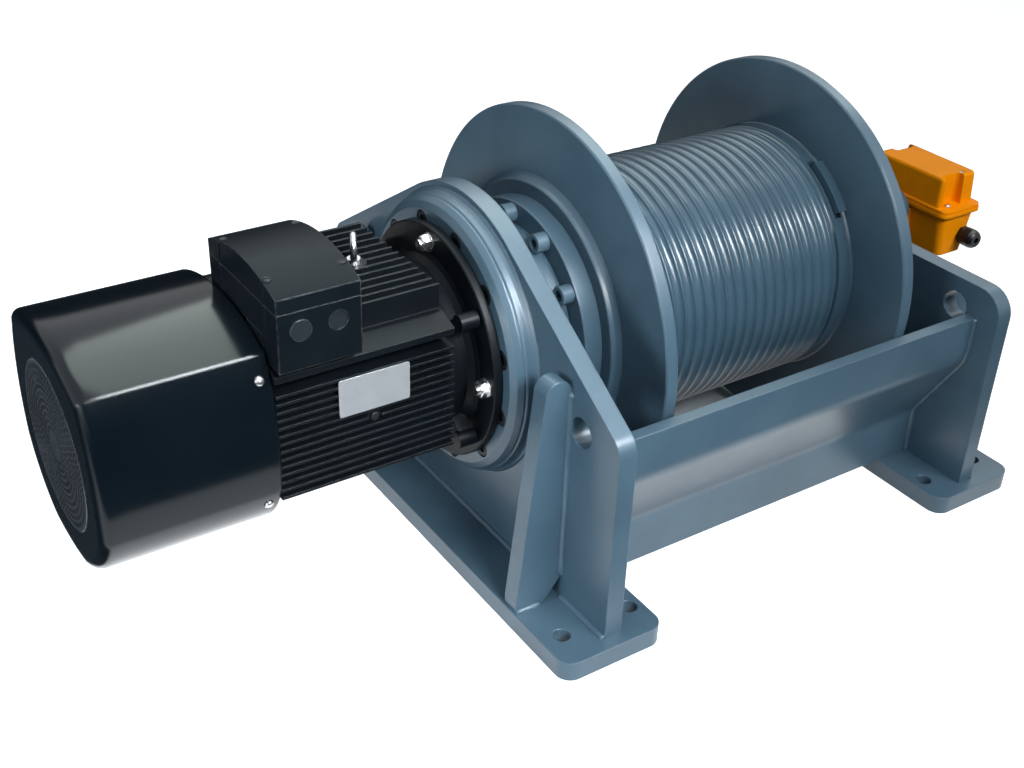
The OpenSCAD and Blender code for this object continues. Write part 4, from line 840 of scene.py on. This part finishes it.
@dataclass
class FanCowl(SubAssembly):
    """Pressed cowl with domed sides and its perforated end."""

    half: float = 0.137
    corner: float = 0.113
    lower_r: float = 0.142
    edge_r: float = 0.013
    sheet: float = 0.0025
    x0: float = -0.827
    x1: float = -0.626
    lip: float = 0.0006
    grille_r: float = 0.096
    grille_t: float = 0.0018
    grille_rim: float = 0.003
    hub_r: float = 0.017
    hub_bore: float = 0.0028
    hole_share: float = 0.31
    hole_step: float = 0.0068
    wire_half: float = 0.0009
    wire_lap: float = 0.0003
    wire_parts: int = 144
    hole_rings: int = 10
    end_shares: tuple[float, ...] = (0.08, 0.35, 0.7)
    side_parts: int = 11
    bend_parts: int = 8
    parts: int = 360

    def build(self) -> None:
        """Makes the shell and the grille."""
        shell = self._shell()
        piece = self.piece("cowl_shell", shell.points, shell.faces, COWL_LACQUER, "frame",
                           "cowl_black", sharp=22)
        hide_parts("fan_cowl")
        grille = self._grille()
        piece = self.piece("cowl_grille", grille.points, grille.faces, GRILLE_BLACK,
                           "frame", "cowl_black", sharp=30)
        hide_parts("fan_grille")
        self.dress(("cowl_screws",), ZINC)

    def _reach(self, angle: float, inset: float) -> float:
        """Distance of the outline from the axis.

        Args:
            angle: Angle from +Y towards +Z.
            inset: How far the outline is drawn in.

        Returns:
            The distance, in metres.
        """
        side_r = (self.corner ** 2 + (self.half - self.corner) ** 2) / (
            2 * (self.half - self.corner))
        shift = side_r - self.half
        radius = side_r - inset
        best = self.lower_r - inset if math.sin(angle) < 0 else 1.0
        for k in range(4):
            turn = angle - k * math.pi / 2
            if math.cos(turn) > 0:
                reach = math.sqrt(radius ** 2 - (shift * math.sin(turn)) ** 2)
                best = min(best, reach - shift * math.cos(turn))
        return best

    def _outline(self, x: float, inset: float) -> list[Vector]:
        """The outline at a place along the axis, drawn in by an amount."""
        turns = (math.tau * k / self.parts for k in range(self.parts))
        return [about(x, self._reach(turn, inset), turn) for turn in turns]

    def _bend(self, start: float, inset: float, radius: float) -> list[list[Vector]]:
        """Makes the rings of the rounded edge, from the end face to the side.

        Args:
            start: Place of the end face along the axis.
            inset: How far the side is drawn in.
            radius: Radius of the bend.

        Returns:
            The rings, the one on the end face first.
        """
        turns = (math.pi / 2 * k / self.bend_parts for k in range(self.bend_parts, -1, -1))
        return [self._outline(start + radius * (1 - math.sin(turn)),
                              inset + radius * (1 - math.cos(turn))) for turn in turns]

    def _shell(self) -> Mesh:
        """Makes the sheet of the cowl, outside and inside.

        Returns:
            The closed sheet.
        """
        mesh = Mesh()
        rings = [self._outline(self.x1 - self.lip, 0.0),
                 self._outline(self.x1 - 2 * self.lip, 0.0)]
        side = self.x0 + self.edge_r - self.x1
        for k in range(1, self.side_parts + 1):
            rings.append(self._outline(self.x1 + side * k / self.side_parts, 0.0))
        rings += self._bend(self.x0, 0.0, self.edge_r)[-2::-1]
        flat = rings[-1]
        opening = circle(self.x0, self.grille_r, self.parts)
        for share in self.end_shares:
            rings.append([a.lerp(b, share) for a, b in zip(flat, opening)])
        rings.append(opening)
        rings.append(circle(self.x0 + self.sheet, self.grille_r, self.parts))
        rings += self._bend(self.x0 + self.sheet, self.sheet, self.edge_r - self.sheet)
        rings.append(self._outline(self.x1 - self.lip, self.sheet))
        rings.append(rings[0])
        mesh.ring_grid(rings)
        return mesh

    def _grille(self) -> Mesh:
        """Makes the plate with rings of small square holes round a closed middle.

        Returns:
            The plate.
        """
        mesh = Mesh()
        back = self.x0 + self.grille_t
        pitch = (self.grille_r - self.grille_rim - self.hub_r) / self.hole_rings
        hole = pitch * self.hole_share
        radii = [self.hub_bore]
        for i in range(self.hole_rings):
            middle = self.hub_r + (i + 0.5) * pitch
            radii += [middle - hole, middle + hole]
            count = 12 * max(1, round(math.tau * middle / self.hole_step / 12))
            for k in range(count):
                turn = (Matrix.Translation((0, 0, AXIS_HEIGHT))
                        @ Matrix.Rotation(math.tau * k / count, 4, "X"))
                mesh.box((self.x0, middle - hole - self.wire_lap, -self.wire_half),
                         (back, middle + hole + self.wire_lap, self.wire_half), turn)
        radii.append(self.grille_r)
        for inner, outer in zip(radii[::2], radii[1::2]):
            corners = ((self.x0, inner), (self.x0, outer), (back, outer), (back, inner),
                       (self.x0, inner))
            mesh.ring_grid([circle(x, radius, self.wire_parts) for x, radius in corners])
        return mesh


@dataclass
class BrakeMotor(SubAssembly):
    """Finned motor with its flange, fittings and the parts inside."""

    def build(self) -> None:
        """Dresses the motor."""
        self.dress(("motor_flange_shield", "motor_frame", "fan_end_shield"), BLACK_ENAMEL)
        self.dress(("terminal_box", "terminal_lid"), BOX_ENAMEL)
        self.dress(("entry_plugs",), PLUG_BLACK)
        self.dress(("lid_screws", "earth_screw"), DARK_SCREW)
        self.dress(("flange_stud_nuts", "eyebolt"), ZINC)
        self.dress(("stator_core", "motor_bearings", "brake_magnet", "brake_armature",
                    "brake_disc", "motor_shaft", "rotor_core"), STEEL)
        self.dress(("stator_windings",), COPPER)
        self.dress(("fan",), BLACK_PLASTIC)
        self.dress(("terminal_block",), BROWN_PLASTIC)
        self.dress(("name_plate",), PLATE_METAL)


@dataclass
class LimitSwitch(SubAssembly):
    """Orange switch box with its gland and cams."""

    def build(self) -> None:
        """Dresses the switch."""
        self.dress(("switch_base", "switch_cover"), ORANGE_COAT)
        self.dress(("switch_screws",), ZINC)
        self.dress(("cable_gland",), BLACK_PLASTIC)
        self.dress(("cam_shaft",), STEEL)


@dataclass(frozen=True)
class Lamp:
    """One soft lamp, in metres, watts and degrees."""

    name: str
    at: Point
    aim: Point
    size: tuple[float, float]
    power: float
    colour: Colour
    spread: float = 180.0
    gloss_only: bool = False

    def light(self) -> None:
        """Puts the lamp into the scene."""
        light = bpy.data.lights.new(self.name, "AREA")
        light.shape = "RECTANGLE"
        light.size, light.size_y = self.size
        light.energy = self.power
        light.color = self.colour
        light.spread = math.radians(self.spread)
        thing = bpy.data.objects.new(self.name, light)
        thing.location = self.at
        way = Vector(self.aim) - Vector(self.at)
        thing.rotation_euler = way.to_track_quat("-Z", "Y").to_euler()
        thing.visible_diffuse = not self.gloss_only
        bpy.context.scene.collection.objects.link(thing)


@dataclass(frozen=True)
class Card:
    """Dark card that only shows in reflections, as a studio's black flag does."""

    name: str
    corners: tuple[Point, Point, Point, Point]

    def hang(self) -> None:
        """Puts the card into the scene."""
        mesh = bpy.data.meshes.new(self.name)
        mesh.from_pydata(list(self.corners), [], [(0, 1, 2, 3)])
        net = Net(bpy.data.materials.new(self.name))
        dark = net.node("ShaderNodeBsdfDiffuse", {}, {"Color": (0.03, 0.04, 0.05)})
        mesh.materials.append(net.close(dark))
        thing = bpy.data.objects.new(self.name, mesh)
        bpy.context.scene.collection.objects.link(thing)
        thing.visible_camera = False
        thing.visible_diffuse = False
        thing.visible_transmission = False
        thing.visible_shadow = False


REACH = 4.0
WALL = 3.6
WALL_TOP = 1.5
LIFT = 0.004
FRONT_EDGE = -0.42
END_EDGE_X = -0.84
END_EDGE_Y = -0.15
BACK_EDGE = 0.9

LAMPS = (
    Lamp("key", (0.5, -2.3, 2.35), (-0.35, 0.0, 0.3), (1.7, 0.32), 28.0, (1.0, 0.99, 0.98),
         spread=100.0),
    Lamp("left", (-2.8, -0.4, 0.75), (-0.1, 0.0, 0.3), (1.4, 0.7), 42.0, (0.96, 0.98, 1.0)),
    Lamp("front", (-0.75, -2.6, 1.9), (-0.62, 0.0, 0.25), (1.0, 0.9), 5.5,
         (0.98, 0.99, 1.0), spread=34.0),
    Lamp("top", (-1.0, -0.4, 3.2), (-0.35, 0.0, 0.35), (1.2, 1.0), 16.0,
         (0.96, 1.0, 0.98)),
    Lamp("sky", (0.91, 1.15, 3.16), (-0.5, 0.0, 0.35), (3.4, 2.6), 125.0,
         (0.88, 1.0, 0.94), gloss_only=True),
    Lamp("crease", (0.05, -1.75, 2.1), (-0.7, -0.13, 0.4), (0.8, 0.9), 14.0,
         (0.90, 0.96, 1.0), spread=34.0, gloss_only=True),
)
CARDS = (
    Card("floor_card", ((-REACH, FRONT_EDGE, LIFT), (-REACH, -WALL, LIFT),
                        (REACH, -WALL, LIFT), (REACH, FRONT_EDGE, LIFT))),
    Card("end_card", ((-REACH, WALL, LIFT), (-REACH, END_EDGE_Y, LIFT),
                      (END_EDGE_X, END_EDGE_Y, LIFT), (END_EDGE_X, WALL, LIFT))),
    Card("front_card", ((-REACH, -WALL, 0.0), (-REACH, -WALL, WALL_TOP),
                        (REACH, -WALL, WALL_TOP), (REACH, -WALL, 0.0))),
    Card("back_card", ((END_EDGE_X, WALL, LIFT), (END_EDGE_X, BACK_EDGE, LIFT),
                       (REACH, BACK_EDGE, LIFT), (REACH, WALL, LIFT))),
    Card("back_wall", ((-REACH, WALL, 0.0), (-REACH, WALL, WALL_TOP),
                       (REACH, WALL, WALL_TOP), (REACH, WALL, 0.0))),
)


@dataclass
class Studio:
    """Floor, lamps, world and camera."""

    camera_at: Point = (-1.10223, -1.26685, 1.10795)
    azimuth: float = 34.371
    elevation: float = 31.269
    roll: float = 2.085
    lens: float = 47.69
    world_light: float = 0.125
    floor_half: float = 30.0
    floor_glow: float = 0.86
    # The bay is the patch between the side plates where the floor's glow fades out: painted
    # shade.
    bay_middle: tuple[float, float] = (0.075, 0.125)
    bay_half: tuple[float, float] = (0.26, 0.165)
    bay_fade: float = 0.2

    def build(self) -> None:
        """Sets the stage."""
        self._camera()
        self._world()
        self._floor()
        for lamp in LAMPS:
            lamp.light()
        for card in CARDS:
            card.hang()
        LOG.info("stage set with %d lamps and %d cards", len(LAMPS), len(CARDS))

    def _camera(self) -> None:
        """Places the camera where the photographer stood."""
        az, el, roll = (math.radians(a) for a in (self.azimuth, self.elevation, self.roll))
        forward = Vector((math.sin(az) * math.cos(el), math.cos(az) * math.cos(el),
                          -math.sin(el)))
        level = Vector((math.cos(az), -math.sin(az), 0.0))
        rise = level.cross(forward)
        right = level * math.cos(roll) + rise * math.sin(roll)
        up = rise * math.cos(roll) - level * math.sin(roll)
        lens = bpy.data.cameras.new("camera")
        lens.lens = self.lens
        lens.sensor_width = 36.0
        lens.sensor_fit = "HORIZONTAL"
        lens.clip_end = 60.0
        thing = bpy.data.objects.new("camera", lens)
        turn = Matrix((right, up, -forward)).transposed().to_4x4()
        thing.matrix_world = Matrix.Translation(self.camera_at) @ turn
        bpy.context.scene.collection.objects.link(thing)
        bpy.context.scene.camera = thing

    def _world(self) -> None:
        """Makes a world that shows white and gives soft grey light."""
        net = Net(bpy.data.worlds.new("studio"))
        bpy.context.scene.world = net.owner
        strength = net.background_seen() * (1.0 - self.world_light) + self.world_light
        sky = net.node("ShaderNodeBackground", {}, {"Color": (0.96, 0.98, 1.0),
                                                    "Strength": strength})
        net.node("ShaderNodeOutputWorld", {}, {0: sky.outputs[0]})

    def _floor(self) -> None:
        """Plain pale floor that keeps a soft shadow, with painted shade under the drum where
        its glow is left out between the side plates.
        """
        half = self.floor_half
        mesh = bpy.data.meshes.new("floor")
        mesh.from_pydata([(-half, -half, 0), (half, -half, 0), (half, half, 0),
                          (-half, half, 0)], [], [(0, 1, 2, 3)])
        net = Net(bpy.data.materials.new("floor"))
        pale = net.node("ShaderNodeBsdfDiffuse", {}, {"Color": (0.58, 0.63, 0.66)})
        dim = net.node("ShaderNodeBsdfDiffuse", {}, {"Color": (0.20, 0.21, 0.22)})
        path = net.node("ShaderNodeLightPath")
        away = net.node("ShaderNodeMixShader", {}, {0: path.outputs["Is Diffuse Ray"],
                                                    1: pale.outputs[0], 2: dim.outputs[0]})
        glow = net.node("ShaderNodeEmission", {}, {"Color": (1.0, 1.0, 1.0),
                                                   "Strength": self.floor_glow})
        lit = net.node("ShaderNodeAddShader", {}, {0: pale.outputs[0], 1: glow.outputs[0]})
        # Between the side plates the glow fades out: painted shade under the drum.
        both = net.node("ShaderNodeMixShader", {}, {0: self._outside_painted_shade(net),
                                                    1: pale.outputs[0], 2: lit.outputs[0]})
        mixed = net.node("ShaderNodeMixShader", {}, {0: net.background_seen(),
                                                     1: away.outputs[0], 2: both.outputs[0]})
        mesh.materials.append(net.close(mixed))
        thing = bpy.data.objects.new("floor", mesh)
        bpy.context.scene.collection.objects.link(thing)

    def _outside_painted_shade(self, net: Net) -> Field:
        """Marks the patch between the side plates where the floor's glow is left out: painted
        shade under the drum, through which the lamps' shadow shows.

        Args:
            net: The floor's material.

        Returns:
            0 or less in the bay, rising to 1 at its border and above 1 outside.
        """
        x, y, _ = net.split(net.node("ShaderNodeNewGeometry").outputs["Position"])
        far = (abs(x - self.bay_middle[0]) / self.bay_half[0]).larger(
            abs(y - self.bay_middle[1]) / self.bay_half[1])
        return (far - (1.0 - self.bay_fade)) / self.bay_fade


def main() -> None:
    """Builds the whole scene in order."""
    logging.basicConfig(level=logging.INFO, format="%(name)s: %(message)s")
    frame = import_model()
    bpy.context.scene.view_settings.view_transform = "Standard"
    Studio().build()
    shop = Shop()
    nodes = frame["nodes"]
    for part in (WeldedFrame, RopeDrum, Gearing, FanCowl, BrakeMotor, LimitSwitch):
        part(nodes, shop).build()
        LOG.info("%s done", part.__name__)


if __name__ == "__main__":
    main()
